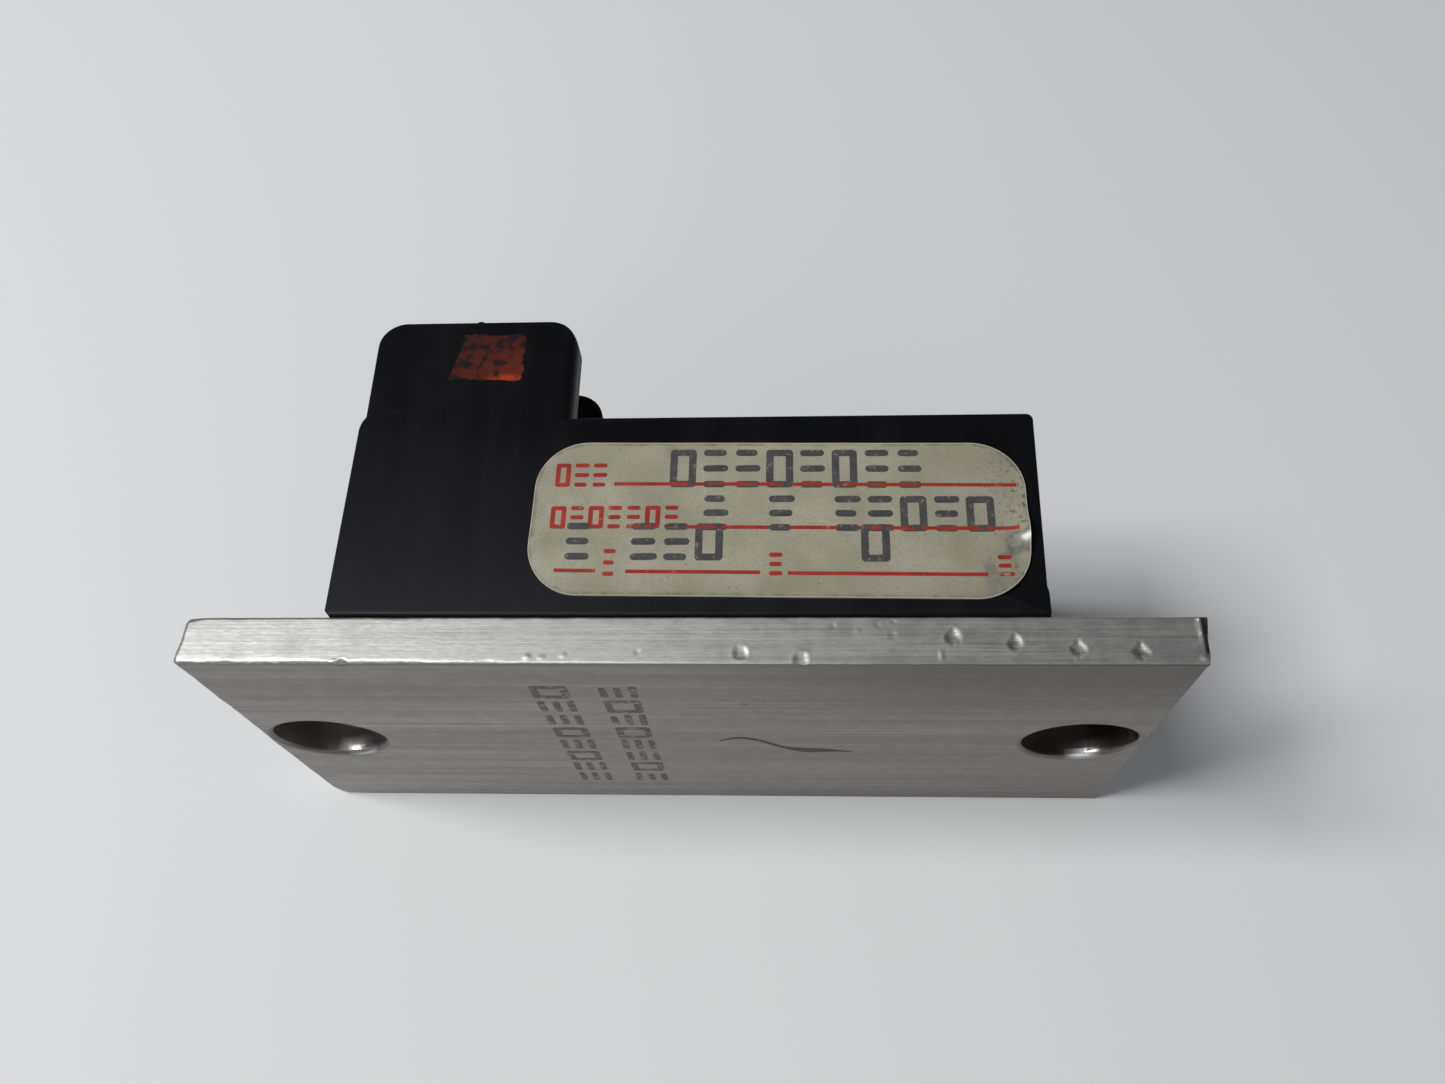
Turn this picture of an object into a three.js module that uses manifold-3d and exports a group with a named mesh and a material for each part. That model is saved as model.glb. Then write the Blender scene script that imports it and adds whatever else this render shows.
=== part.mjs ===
// Solid state relay on an aluminium mounting plate, in millimetres.
//
// The relay lies on its long side: +X runs along the plate, +Y points from the plate's mounting
// face to the terminals, and +Z points out of the labelled side. The origin is the centre of the
// mounting face, which looks along -Y.

import * as THREE from 'three';
import { mergeVertices } from 'three/addons/utils/BufferGeometryUtils.js';
import Module from 'manifold-3d';

const wasm = await Module();
wasm.setup();

// ---------------------------------------------------------------- driving dimensions

const GAP = 0.3; // clearance where one piece sits in another
const CONTACT = 0.05; // clearance between faces that rest on each other
const THROUGH = 1; // how far a cutter runs past the face that it opens

const PLATE = { length: 63.5, width: 31.75, thickness: 3.175, edge: 0.3 };
const MOUNT_HOLE = { x: 27.3, radius: 4.05, countersink: 0.2 };

const HOUSING = {
  length: 45.7,
  width: 31.45,
  base: PLATE.thickness + CONTACT,
  roof: 17.8,
  wall: 2,
  draft: Math.tan(THREE.MathUtils.degToRad(0.5)),
  cornerRadius: 0.45,
};
const HOUSING_FOOT = { height: 1.9, step: 0.05 };
const HOUSING_HALF = HOUSING.length / 2;

const BLOCK = {
  left: -22.35,
  right: -8,
  top: 25.8,
  shoulder: 0.9,
  leftRadius: 1.7,
  rightRadius: 2.1,
};
const OUTER_WALL = 2.2;
const BARRIER = { thickness: 1.5, top: 24.7, overhang: 0.65 };
const BAYS = 4;

const LABEL = { left: -10, right: 21.9, bottom: 4.5, top: 15.65, radius: 3.7, thickness: 0.2 };

const TERMINAL = {
  left: -20.9,
  right: -8.3,
  width: 4.9,
  thickness: 0.8,
  pocket: 0.5,
  tailWidth: 3,
  tailEnd: 12.6,
};
const CLAMP = { length: 5.6, width: 5, thickness: 0.8, corner: 0.5 };
const SCREW = {
  x: -15.1,
  headRadius: 2.4,
  headHeight: 1.8,
  rim: 0.9,
  shankRadius: 1.2,
  shankLength: 6,
  tip: 0.4,
  slotWidth: 0.8,
  slotDepth: 0.9,
};
const INSERT = { outer: 2.2, inner: 1.5, length: 4.2 };

const BOARD = { left: -9.2, right: 20.6, halfWidth: 13.1, bottom: 13.4, thickness: 1.6 };
const LEAD = { size: 0.6, hole: 0.65, root: 1 }; // a lead starts this far inside its part

// ---------------------------------------------------------------- derived places

const BAY_FLOOR = HOUSING.roof;
const POCKET_FLOOR = BAY_FLOOR - TERMINAL.pocket;
const TERMINAL_TOP = POCKET_FLOOR + CONTACT + TERMINAL.thickness;
const CLAMP_BOTTOM = TERMINAL_TOP + CONTACT;
const HEAD_BOTTOM = CLAMP_BOTTOM + CLAMP.thickness + CONTACT;
const INSERT_TOP = POCKET_FLOOR - CONTACT;
const INSERT_BORE_END = HEAD_BOTTOM - SCREW.shankLength - 2 * GAP;
const BOSS_BOTTOM = INSERT_BORE_END - 1;
const BOSS_RIGHT = BOARD.left - GAP;
const CAVITY_ROOF = HOUSING.roof - HOUSING.wall;
const CAVITY_END = HOUSING_HALF - HOUSING.wall;
const CAVITY_SIDE = HOUSING.width / 2 - HOUSING.wall;

const WIDTH_AT_ROOF = HOUSING.width - 2 * HOUSING.draft * (HOUSING.roof - HOUSING.base);
const BAY_WIDTH = (WIDTH_AT_ROOF - 2 * OUTER_WALL - (BAYS - 1) * BARRIER.thickness) / BAYS;
const BAY_PITCH = BAY_WIDTH + BARRIER.thickness;

// ---------------------------------------------------------------- materials

const FINISH = {
  aluminium: { color: 0xb9b8b4, roughness: 0.38, metalness: 0.9 },
  black_plastic: { color: 0x1b1b1f, roughness: 0.5, metalness: 0 },
  paper: { color: 0xcfcbb4, roughness: 0.45, metalness: 0 },
  nickel: { color: 0xc4c0b4, roughness: 0.3, metalness: 1 },
  zinc: { color: 0xb8bcc0, roughness: 0.35, metalness: 1 },
  brass: { color: 0xb8954a, roughness: 0.35, metalness: 1 },
  laminate: { color: 0x6f7a3c, roughness: 0.55, metalness: 0 },
  ceramic: { color: 0xe8e6df, roughness: 0.6, metalness: 0 },
  epoxy: { color: 0x222226, roughness: 0.5, metalness: 0 },
  film: { color: 0x8f3b22, roughness: 0.4, metalness: 0 },
  resistor: { color: 0xb79a6c, roughness: 0.55, metalness: 0 },
  resin: { color: 0x2a2623, roughness: 0.45, metalness: 0 },
};

// ---------------------------------------------------------------- solids from three.js geometry

function solidOf(geometry) {
  geometry.deleteAttribute('normal');
  geometry.deleteAttribute('uv');
  const merged = mergeVertices(geometry, 1e-4);
  const mesh = new wasm.Mesh({
    numProp: 3,
    vertProperties: new Float32Array(merged.attributes.position.array),
    triVerts: new Uint32Array(merged.index.array),
  });
  return new wasm.Manifold(mesh);
}

function geometryOf(solid) {
  const mesh = solid.getMesh();
  const geometry = new THREE.BufferGeometry();
  geometry.setAttribute('position', new THREE.BufferAttribute(mesh.vertProperties, 3));
  geometry.setIndex(new THREE.BufferAttribute(mesh.triVerts, 1));
  geometry.computeVertexNormals();
  return geometry;
}

// A box from its low corner to its high corner.
function blockGeometry([x0, y0, z0], [x1, y1, z1]) {
  const geometry = new THREE.BoxGeometry(x1 - x0, y1 - y0, z1 - z0);
  return geometry.translate((x0 + x1) / 2, (y0 + y1) / 2, (z0 + z1) / 2);
}

function block(low, high) {
  return solidOf(blockGeometry(low, high));
}

// A round bar along Y.
function barAlongY(radius, [x, y0, z], y1, segments = 20) {
  const geometry = new THREE.CylinderGeometry(radius, radius, y1 - y0, segments);
  return solidOf(geometry.translate(x, (y0 + y1) / 2, z));
}

// A round bar along X.
function barAlongX(radius, [x0, y, z], x1, segments = 20) {
  const geometry = new THREE.CylinderGeometry(radius, radius, x1 - x0, segments);
  return solidOf(geometry.rotateZ(Math.PI / 2).translate((x0 + x1) / 2, y, z));
}

// A turned piece about the Y axis: profile points are [radius, height].
function turned(profile, segments) {
  const points = profile.map(([radius, height]) => new THREE.Vector2(radius, height));
  return new THREE.LatheGeometry(points, segments);
}

function prism(shape, z0, z1, curveSegments = 6) {
  const geometry = new THREE.ExtrudeGeometry(shape, { depth: z1 - z0, bevelEnabled: false, curveSegments });
  return geometry.translate(0, 0, z0);
}

// Leans the two long sides inwards with height, as the mould's draft does.
function withDraft(geometry) {
  const position = geometry.attributes.position;
  for (let i = 0; i < position.count; i += 1) {
    const lean = HOUSING.draft * (position.getY(i) - HOUSING.base);
    position.setZ(i, position.getZ(i) - Math.sign(position.getZ(i)) * lean);
  }
  return geometry;
}

function bayCentre(index) {
  return (index - (BAYS - 1) / 2) * BAY_PITCH;
}

const BAY_INDICES = Array.from({ length: BAYS }, (_, index) => index);

// ---------------------------------------------------------------- mounting plate

function basePlate() {
  const { length, width, thickness, edge } = PLATE;
  const outline = new THREE.Shape();
  outline.moveTo(-length / 2 + edge, edge);
  outline.lineTo(length / 2 - edge, edge);
  outline.lineTo(length / 2 - edge, thickness - edge);
  outline.lineTo(-length / 2 + edge, thickness - edge);
  outline.closePath();
  const slab = new THREE.ExtrudeGeometry(outline, {
    depth: width - 2 * edge,
    bevelThickness: edge,
    bevelSize: edge,
    bevelSegments: 2,
    curveSegments: 4,
  });
  let plate = solidOf(slab.translate(0, 0, -width / 2 + edge));
  const { radius, countersink } = MOUNT_HOLE;
  const cutter = [
    [0, -THROUGH],
    [radius + countersink, -THROUGH],
    [radius + countersink, 0],
    [radius, countersink],
    [radius, thickness + THROUGH],
    [0, thickness + THROUGH],
  ];
  for (const side of [-1, 1]) {
    plate = plate.subtract(solidOf(turned(cutter, 48).translate(side * MOUNT_HOLE.x, 0, 0)));
  }
  return geometryOf(plate);
}

// ---------------------------------------------------------------- housing

// Side view of the low box, seen along Z.
function lowBoxShape() {
  const { base, roof, draft, cornerRadius } = HOUSING;
  const lean = draft * (roof - base);
  const footTop = base + HOUSING_FOOT.height;
  const right = HOUSING_HALF - HOUSING_FOOT.step;
  const left = -HOUSING_HALF + lean;
  const shape = new THREE.Shape();
  shape.moveTo(-HOUSING_HALF, base);
  shape.lineTo(HOUSING_HALF, base);
  shape.lineTo(HOUSING_HALF, footTop);
  shape.lineTo(right, footTop + HOUSING_FOOT.step);
  shape.lineTo(right, roof - cornerRadius);
  shape.absarc(right - cornerRadius, roof - cornerRadius, cornerRadius, 0, Math.PI / 2, false);
  shape.lineTo(left + BLOCK.shoulder, roof);
  shape.absarc(left + BLOCK.shoulder, roof - BLOCK.shoulder, BLOCK.shoulder, Math.PI / 2, Math.PI, false);
  shape.closePath();
  return shape;
}

// Side view of a wall that stands on the low box between or beside the terminals.
function finShape(top, overhang) {
  const { left, right, leftRadius, rightRadius } = BLOCK;
  const lean = HOUSING.draft * (top - HOUSING.roof);
  const foot = HOUSING.roof - 1.5 * BLOCK.shoulder;
  const far = right + overhang;
  const shape = new THREE.Shape();
  shape.moveTo(left, foot);
  shape.lineTo(far + lean, foot);
  shape.lineTo(far, top - rightRadius);
  shape.absarc(far - rightRadius, top - rightRadius, rightRadius, 0, Math.PI / 2, false);
  shape.lineTo(left + lean + leftRadius, top);
  shape.absarc(left + lean + leftRadius, top - leftRadius, leftRadius, Math.PI / 2, Math.PI, false);
  shape.closePath();
  return shape;
}

function housing() {
  const half = HOUSING.width / 2;
  let shell = solidOf(withDraft(prism(lowBoxShape(), -half, half)));
  const outer = finShape(BLOCK.top, 0);
  shell = shell.add(solidOf(withDraft(prism(outer, half - OUTER_WALL, half))));
  shell = shell.add(solidOf(withDraft(prism(outer, -half, -half + OUTER_WALL))));
  const inner = finShape(BARRIER.top, BARRIER.overhang);
  for (const index of BAY_INDICES.slice(1)) {
    const middle = bayCentre(index) - BAY_PITCH / 2;
    const halfWall = BARRIER.thickness / 2;
    shell = shell.add(solidOf(prism(inner, middle - halfWall, middle + halfWall)));
  }
  const open = HOUSING.base - THROUGH;
  shell = shell.subtract(
    block([-CAVITY_END, open, -CAVITY_SIDE], [CAVITY_END, BOSS_BOTTOM, CAVITY_SIDE]),
  );
  shell = shell.subtract(
    block([BOSS_RIGHT, open, -CAVITY_SIDE], [CAVITY_END, CAVITY_ROOF, CAVITY_SIDE]),
  );
  for (const index of BAY_INDICES) {
    shell = shell.subtract(terminalRecess(bayCentre(index)));
  }
  return geometryOf(shell);
}

// The shallow pocket that locates a terminal plate, its tail's slot and the insert's blind bore.
function terminalRecess(z) {
  const { left, right, width, thickness, tailWidth } = TERMINAL;
  const halfPocket = width / 2 + GAP;
  const halfSlot = tailWidth / 2 + GAP;
  const pocket = block(
    [left - GAP, POCKET_FLOOR, z - halfPocket],
    [right + GAP, BAY_FLOOR + THROUGH, z + halfPocket],
  );
  const slot = block(
    [right - thickness - GAP, CAVITY_ROOF - THROUGH, z - halfSlot],
    [right + GAP, POCKET_FLOOR + THROUGH, z + halfSlot],
  );
  const bore = barAlongY(INSERT.outer + GAP, [SCREW.x, INSERT_BORE_END, z], POCKET_FLOOR + THROUGH, 24);
  return pocket.add(slot).add(bore);
}

// ---------------------------------------------------------------- label

function ratingLabel() {
  const { left, right, bottom, top, radius, thickness } = LABEL;
  const shape = new THREE.Shape();
  shape.moveTo(left + radius, bottom);
  shape.absarc(right - radius, bottom + radius, radius, -Math.PI / 2, 0, false);
  shape.absarc(right - radius, top - radius, radius, 0, Math.PI / 2, false);
  shape.absarc(left + radius, top - radius, radius, Math.PI / 2, Math.PI, false);
  shape.absarc(left + radius, bottom + radius, radius, Math.PI, 1.5 * Math.PI, false);
  shape.closePath();
  const back = HOUSING.width / 2 + CONTACT;
  return geometryOf(solidOf(withDraft(prism(shape, back, back + thickness, 8))));
}

// ---------------------------------------------------------------- terminals

function terminalPlate(z) {
  const { left, right, width, thickness, tailWidth, tailEnd } = TERMINAL;
  const bottom = POCKET_FLOOR + CONTACT;
  const strip = block([left, bottom, z - width / 2], [right, TERMINAL_TOP, z + width / 2]);
  const halfTail = tailWidth / 2;
  const tail = block([right - thickness, tailEnd, z - halfTail], [right, TERMINAL_TOP, z + halfTail]);
  const hole = barAlongY(INSERT.inner, [SCREW.x, bottom - THROUGH, z], TERMINAL_TOP + THROUGH, 24);
  return geometryOf(strip.add(tail).subtract(hole));
}

function clampPlate(z) {
  const { length, width, thickness, corner } = CLAMP;
  const halfLength = length / 2;
  const halfWidth = width / 2;
  const low = [SCREW.x - halfLength, CLAMP_BOTTOM, z - halfWidth];
  const high = [SCREW.x + halfLength, CLAMP_BOTTOM + thickness, z + halfWidth];
  let plate = block(low, high);
  for (const sideX of [-1, 1]) {
    for (const sideZ of [-1, 1]) {
      const cut = new THREE.BoxGeometry(2 * corner, thickness + 2 * THROUGH, 2 * corner);
      const cutX = SCREW.x + sideX * (halfLength + corner / 2);
      const cutZ = z + sideZ * (halfWidth + corner / 2);
      cut.rotateY(Math.PI / 4).translate(cutX, low[1] + thickness / 2, cutZ);
      plate = plate.subtract(solidOf(cut));
    }
  }
  const hole = barAlongY(INSERT.inner, [SCREW.x, low[1] - THROUGH, z], high[1] + THROUGH, 24);
  return geometryOf(plate.subtract(hole));
}

// A slotted cheese-head screw whose origin is the centre of the head's bearing face.
function terminalScrew() {
  const { headRadius, headHeight, rim, shankRadius, shankLength, tip, slotWidth, slotDepth } = SCREW;
  const crown = headHeight - rim;
  const profile = [
    [0, -shankLength],
    [shankRadius - tip, -shankLength],
    [shankRadius, -shankLength + tip],
    [shankRadius, 0],
    [headRadius, 0],
    [headRadius, rim],
    [headRadius - 0.3 * crown, rim + 0.6 * crown],
    [headRadius - crown, headHeight],
    [0, headHeight],
  ];
  const body = solidOf(turned(profile, 32));
  const slot = block(
    [-headRadius - THROUGH, headHeight - slotDepth, -slotWidth / 2],
    [headRadius + THROUGH, headHeight + THROUGH, slotWidth / 2],
  );
  return geometryOf(body.subtract(slot));
}

function threadInsert() {
  const profile = [
    [INSERT.inner, 0],
    [INSERT.outer, 0],
    [INSERT.outer, INSERT.length],
    [INSERT.inner, INSERT.length],
    [INSERT.inner, 0],
  ];
  return geometryOf(solidOf(turned(profile, 24)));
}

// ---------------------------------------------------------------- electronics inside
//
// The parts hang from the board towards the plate, and their leads pass through it.

const BOARD_TOP = BOARD.bottom + BOARD.thickness;
const LEAD_END = BOARD_TOP + 0.5;
const PART_TOP = BOARD.bottom - GAP;
const PLATE_TOP = PLATE.thickness + CONTACT;

// Rectangular packages: centre [x, z] on the board, size [x, y, z], and lead places.
const PACKAGES = {
  opto_coupler: {
    finish: 'epoxy',
    centre: [15.2, 6.6],
    size: [8.4, 3.4, 6.2],
    leads: grid([-2.54, 0, 2.54], [-3.5, 3.5]),
  },
  bridge_rectifier: {
    finish: 'epoxy',
    centre: [15.2, -6.8],
    size: [7.2, 3, 6.2],
    leads: grid([-2.54, 2.54], [-3.5, 3.5]),
  },
  snubber_capacitor: {
    finish: 'film',
    centre: [-2.4, -9.6],
    size: [10, 7, 4.6],
    leads: grid([-3.75, 3.75], [0]),
  },
};

// Axial parts along X: centre [x, z], body radius and length, and half the lead spacing.
const AXIALS = {
  input_resistor: { finish: 'resistor', centre: [-2.4, 11.3], radius: 1.1, length: 6, reach: 5 },
  input_diode: { finish: 'epoxy', centre: [-2.4, 8], radius: 1, length: 4.2, reach: 4 },
  gate_resistor: { finish: 'resistor', centre: [15.7, 0], radius: 1.1, length: 6, reach: 3.9 },
  snubber_resistor: { finish: 'resistor', centre: [14.6, -11.9], radius: 1, length: 6.2, reach: 4.9 },
};

const TRIAC = {
  centre: [0.4, 0],
  tab: [15.6, 1.3, 10],
  body: [9, 4.4, 10],
  leadPitch: 2.54,
  leadRun: 2.2,
  tabHoleRadius: 1.8,
};
const INSULATOR = { size: [17.4, 0.6, 11.6] };
const THYRISTOR = { centre: [-4.6, 3.6], radius: 2.3, height: 4.8, flat: 1.5, leadPitch: 1.27 };

function grid(xs, zs) {
  return xs.flatMap((x) => zs.map((z) => [x, z]));
}

function leadBar(x, z, y0, y1 = LEAD_END) {
  const half = LEAD.size / 2;
  return block([x - half, y0, z - half], [x + half, y1, z + half]);
}

function boxedPackage({ centre: [x, z], size: [lx, ly, lz], leads }) {
  let piece = block([x - lx / 2, PART_TOP - ly, z - lz / 2], [x + lx / 2, PART_TOP, z + lz / 2]);
  const middle = PART_TOP - ly / 2;
  for (const [dx, dz] of leads) {
    piece = piece.add(leadBar(x + dx, z + dz, middle));
    const reach = Math.abs(dz) - lz / 2 + LEAD.size / 2;
    if (reach > 0) {
      const near = z + Math.sign(dz) * (lz / 2 - LEAD.size);
      const far = z + dz + (Math.sign(dz) * LEAD.size) / 2;
      const half = LEAD.size / 2;
      const [low, high] = [Math.min(near, far), Math.max(near, far)];
      piece = piece.add(block([x + dx - half, middle, low], [x + dx + half, middle + LEAD.size, high]));
    }
  }
  return geometryOf(piece);
}

function axialPart({ centre: [x, z], radius, length, reach }) {
  const axis = PART_TOP - radius;
  const half = LEAD.size / 2;
  let piece = barAlongX(radius, [x - length / 2, axis, z], x + length / 2);
  piece = piece.add(block([x - reach, axis - half, z - half], [x + reach, axis + half, z + half]));
  for (const side of [-1, 1]) {
    piece = piece.add(leadBar(x + side * reach, z, axis - half));
  }
  return geometryOf(piece);
}

function thyristor() {
  const { centre, radius, height, flat, leadPitch } = THYRISTOR;
  const [x, z] = centre;
  const low = PART_TOP - height;
  let piece = barAlongY(radius, [x, low, z], PART_TOP, 24);
  const reach = radius + THROUGH;
  piece = piece.subtract(
    block([x - reach, low - THROUGH, z + flat], [x + reach, PART_TOP + THROUGH, z + reach]),
  );
  for (const step of [-1, 0, 1]) {
    piece = piece.add(leadBar(x + step * leadPitch, z, PART_TOP - LEAD.root));
  }
  return geometryOf(piece);
}

const INSULATOR_BOTTOM = PLATE_TOP;
const TAB_BOTTOM = INSULATOR_BOTTOM + INSULATOR.size[1] + CONTACT;

function triacLeads() {
  const { centre, tab, leadPitch, leadRun } = TRIAC;
  const x = centre[0] + tab[0] / 2 + leadRun;
  return [-1, 0, 1].map((step) => [x, centre[1] + step * leadPitch]);
}

function triac() {
  const { centre: [x, z], tab, body, tabHoleRadius } = TRIAC;
  const right = x + tab[0] / 2;
  const left = x - tab[0] / 2;
  const half = LEAD.size / 2;
  let piece = block([left, TAB_BOTTOM, z - tab[2] / 2], [right, TAB_BOTTOM + tab[1], z + tab[2] / 2]);
  piece = piece.add(
    block([right - body[0], TAB_BOTTOM, z - body[2] / 2], [right, TAB_BOTTOM + body[1], z + body[2] / 2]),
  );
  const holeX = left + (tab[0] - body[0]) / 2;
  const holeEnd = TAB_BOTTOM + tab[1] + THROUGH;
  piece = piece.subtract(barAlongY(tabHoleRadius, [holeX, TAB_BOTTOM - THROUGH, z], holeEnd, 24));
  const leadY = TAB_BOTTOM + body[1] / 2;
  for (const [leadX, leadZ] of triacLeads()) {
    const low = [right - LEAD.root, leadY - half, leadZ - half];
    piece = piece.add(block(low, [leadX + half, leadY + half, leadZ + half]));
    piece = piece.add(leadBar(leadX, leadZ, leadY - half));
  }
  return geometryOf(piece);
}

function insulator() {
  const [lx, ly, lz] = INSULATOR.size;
  const [x, z] = TRIAC.centre;
  const low = [x - lx / 2, INSULATOR_BOTTOM, z - lz / 2];
  return blockGeometry(low, [x + lx / 2, INSULATOR_BOTTOM + ly, z + lz / 2]);
}

function leadPlaces() {
  const places = triacLeads();
  for (const { centre, leads } of Object.values(PACKAGES)) {
    places.push(...leads.map(([dx, dz]) => [centre[0] + dx, centre[1] + dz]));
  }
  for (const { centre, reach } of Object.values(AXIALS)) {
    places.push([centre[0] - reach, centre[1]], [centre[0] + reach, centre[1]]);
  }
  for (const step of [-1, 0, 1]) {
    places.push([THYRISTOR.centre[0] + step * THYRISTOR.leadPitch, THYRISTOR.centre[1]]);
  }
  return places;
}

function circuitBoard() {
  const { left, right, halfWidth, bottom } = BOARD;
  let board = block([left, bottom, -halfWidth], [right, BOARD_TOP, halfWidth]);
  for (const [x, z] of leadPlaces()) {
    board = board.subtract(barAlongY(LEAD.hole, [x, bottom - THROUGH, z], BOARD_TOP + THROUGH, 10));
  }
  const { right: tailRight, thickness, tailWidth } = TERMINAL;
  const halfSlot = tailWidth / 2 + GAP;
  for (const index of BAY_INDICES) {
    const z = bayCentre(index);
    board = board.subtract(
      block(
        [tailRight - thickness - GAP, bottom - THROUGH, z - halfSlot],
        [tailRight + GAP, BOARD_TOP + THROUGH, z + halfSlot],
      ),
    );
  }
  return geometryOf(board);
}

// The cast resin fills the shell between the plate and the board, around the parts.
function pottingBlock() {
  const top = BOARD.bottom - CONTACT;
  const bottom = PLATE_TOP + CONTACT;
  const side = CAVITY_SIDE - GAP;
  const end = CAVITY_END - GAP;
  let resin = block([-end, bottom, -side], [end, BOSS_BOTTOM - GAP, side]);
  resin = resin.add(block([BOSS_RIGHT + GAP, bottom, -side], [end, top, side]));
  const mouth = top + THROUGH;
  for (const { centre: [x, z], size: [lx, ly, lz], leads } of Object.values(PACKAGES)) {
    const spread = Math.max(lz / 2, ...leads.map(([, dz]) => Math.abs(dz) + LEAD.size / 2)) + GAP;
    const half = lx / 2 + GAP;
    const floor = PART_TOP - ly - GAP;
    resin = resin.subtract(block([x - half, floor, z - spread], [x + half, mouth, z + spread]));
  }
  for (const { centre: [x, z], radius, reach } of Object.values(AXIALS)) {
    const half = reach + LEAD.size / 2 + GAP;
    const spread = radius + GAP;
    resin = resin.subtract(
      block([x - half, PART_TOP - 2 * radius - GAP, z - spread], [x + half, mouth, z + spread]),
    );
  }
  const { centre: [tx, tz], radius, height } = THYRISTOR;
  resin = resin.subtract(barAlongY(radius + GAP, [tx, PART_TOP - height - GAP, tz], mouth, 24));
  resin = resin.subtract(triacPocket(mouth));
  for (const index of BAY_INDICES) {
    resin = resin.subtract(tailPocket(bayCentre(index), mouth));
  }
  return geometryOf(resin);
}

function triacPocket(mouth) {
  const { centre: [x, z], tab, body, leadPitch, leadRun } = TRIAC;
  const [lx, , lz] = INSULATOR.size;
  const roof = TAB_BOTTOM + body[1] + GAP;
  const right = x + tab[0] / 2 + leadRun + LEAD.size / 2 + GAP;
  const halfWell = lz / 2 + GAP;
  const well = block([x - lx / 2 - GAP, 0, z - halfWell], [right, roof, z + halfWell]);
  const halfLeads = leadPitch + LEAD.size / 2 + GAP;
  const chimneyLeft = right - LEAD.size - 2 * GAP;
  const chimney = block([chimneyLeft, TAB_BOTTOM, z - halfLeads], [right, mouth, z + halfLeads]);
  return well.add(chimney);
}

function tailPocket(z, mouth) {
  const { right, thickness, tailWidth, tailEnd } = TERMINAL;
  const halfSlot = tailWidth / 2 + GAP;
  return block([right - thickness - GAP, tailEnd - GAP, z - halfSlot], [right + GAP, mouth, z + halfSlot]);
}

// ---------------------------------------------------------------- assembly

const relay = new THREE.Group();

function place(name, finish, geometry, position = [0, 0, 0]) {
  const mesh = new THREE.Mesh(geometry, new THREE.MeshStandardMaterial(FINISH[finish]));
  mesh.name = name;
  mesh.position.set(...position);
  relay.add(mesh);
}

place('base_plate', 'aluminium', basePlate());
place('housing', 'black_plastic', housing());
place('rating_label', 'paper', ratingLabel());

for (const index of BAY_INDICES) {
  const number = BAYS - index;
  const z = bayCentre(index);
  place(`terminal_plate_${number}`, 'nickel', terminalPlate(z));
  place(`clamp_plate_${number}`, 'zinc', clampPlate(z));
  place(`terminal_screw_${number}`, 'zinc', terminalScrew(), [SCREW.x, HEAD_BOTTOM, z]);
  place(`thread_insert_${number}`, 'brass', threadInsert(), [SCREW.x, INSERT_TOP - INSERT.length, z]);
}

place('circuit_board', 'laminate', circuitBoard());
place('power_triac', 'epoxy', triac());
place('ceramic_insulator', 'ceramic', insulator());
place('trigger_thyristor', 'epoxy', thyristor());
for (const [name, spec] of Object.entries(PACKAGES)) {
  place(name, spec.finish, boxedPackage(spec));
}
for (const [name, spec] of Object.entries(AXIALS)) {
  place(name, spec.finish, axialPart(spec));
}
place('potting_block', 'resin', pottingBlock());

export default relay;
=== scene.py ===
"""The looks of the solid state relay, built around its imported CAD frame.

The frame is the part's own: +X along the plate, +Y from the plate's mounting face to the
terminals, +Z out of the labelled side. Sizes are written in millimetres and turned into
metres by MM.
"""

import math

import bmesh
import bpy
from mathutils import Matrix, Vector, noise


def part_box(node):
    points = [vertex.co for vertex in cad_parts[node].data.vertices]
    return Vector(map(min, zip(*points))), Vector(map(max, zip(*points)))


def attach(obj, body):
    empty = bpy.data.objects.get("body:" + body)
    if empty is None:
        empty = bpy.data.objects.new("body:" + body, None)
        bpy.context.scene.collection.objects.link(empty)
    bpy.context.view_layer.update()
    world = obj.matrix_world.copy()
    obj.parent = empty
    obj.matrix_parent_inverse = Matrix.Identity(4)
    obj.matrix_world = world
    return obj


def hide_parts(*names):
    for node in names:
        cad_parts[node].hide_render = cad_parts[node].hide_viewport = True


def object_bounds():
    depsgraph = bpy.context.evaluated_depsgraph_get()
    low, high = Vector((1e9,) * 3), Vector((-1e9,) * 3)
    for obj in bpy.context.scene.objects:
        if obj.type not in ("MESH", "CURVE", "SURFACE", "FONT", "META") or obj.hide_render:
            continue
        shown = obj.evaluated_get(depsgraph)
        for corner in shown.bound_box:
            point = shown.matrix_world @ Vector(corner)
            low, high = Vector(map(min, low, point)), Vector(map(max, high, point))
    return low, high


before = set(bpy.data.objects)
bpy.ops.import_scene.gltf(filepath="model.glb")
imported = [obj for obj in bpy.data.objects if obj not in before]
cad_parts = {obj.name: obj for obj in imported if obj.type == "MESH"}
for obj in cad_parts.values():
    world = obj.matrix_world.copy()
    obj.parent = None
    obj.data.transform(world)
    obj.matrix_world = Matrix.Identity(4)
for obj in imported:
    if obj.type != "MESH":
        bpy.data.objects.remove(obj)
cad_low, cad_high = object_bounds()

MM = 0.001

# ---- sizes, in millimetres

PLATE_HALF_LENGTH = 31.75
PLATE_HALF_WIDTH = 15.875
PLATE_THICKNESS = 3.175
HOLE_X = 27.3
HOLE_RADIUS = 4.05

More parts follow.
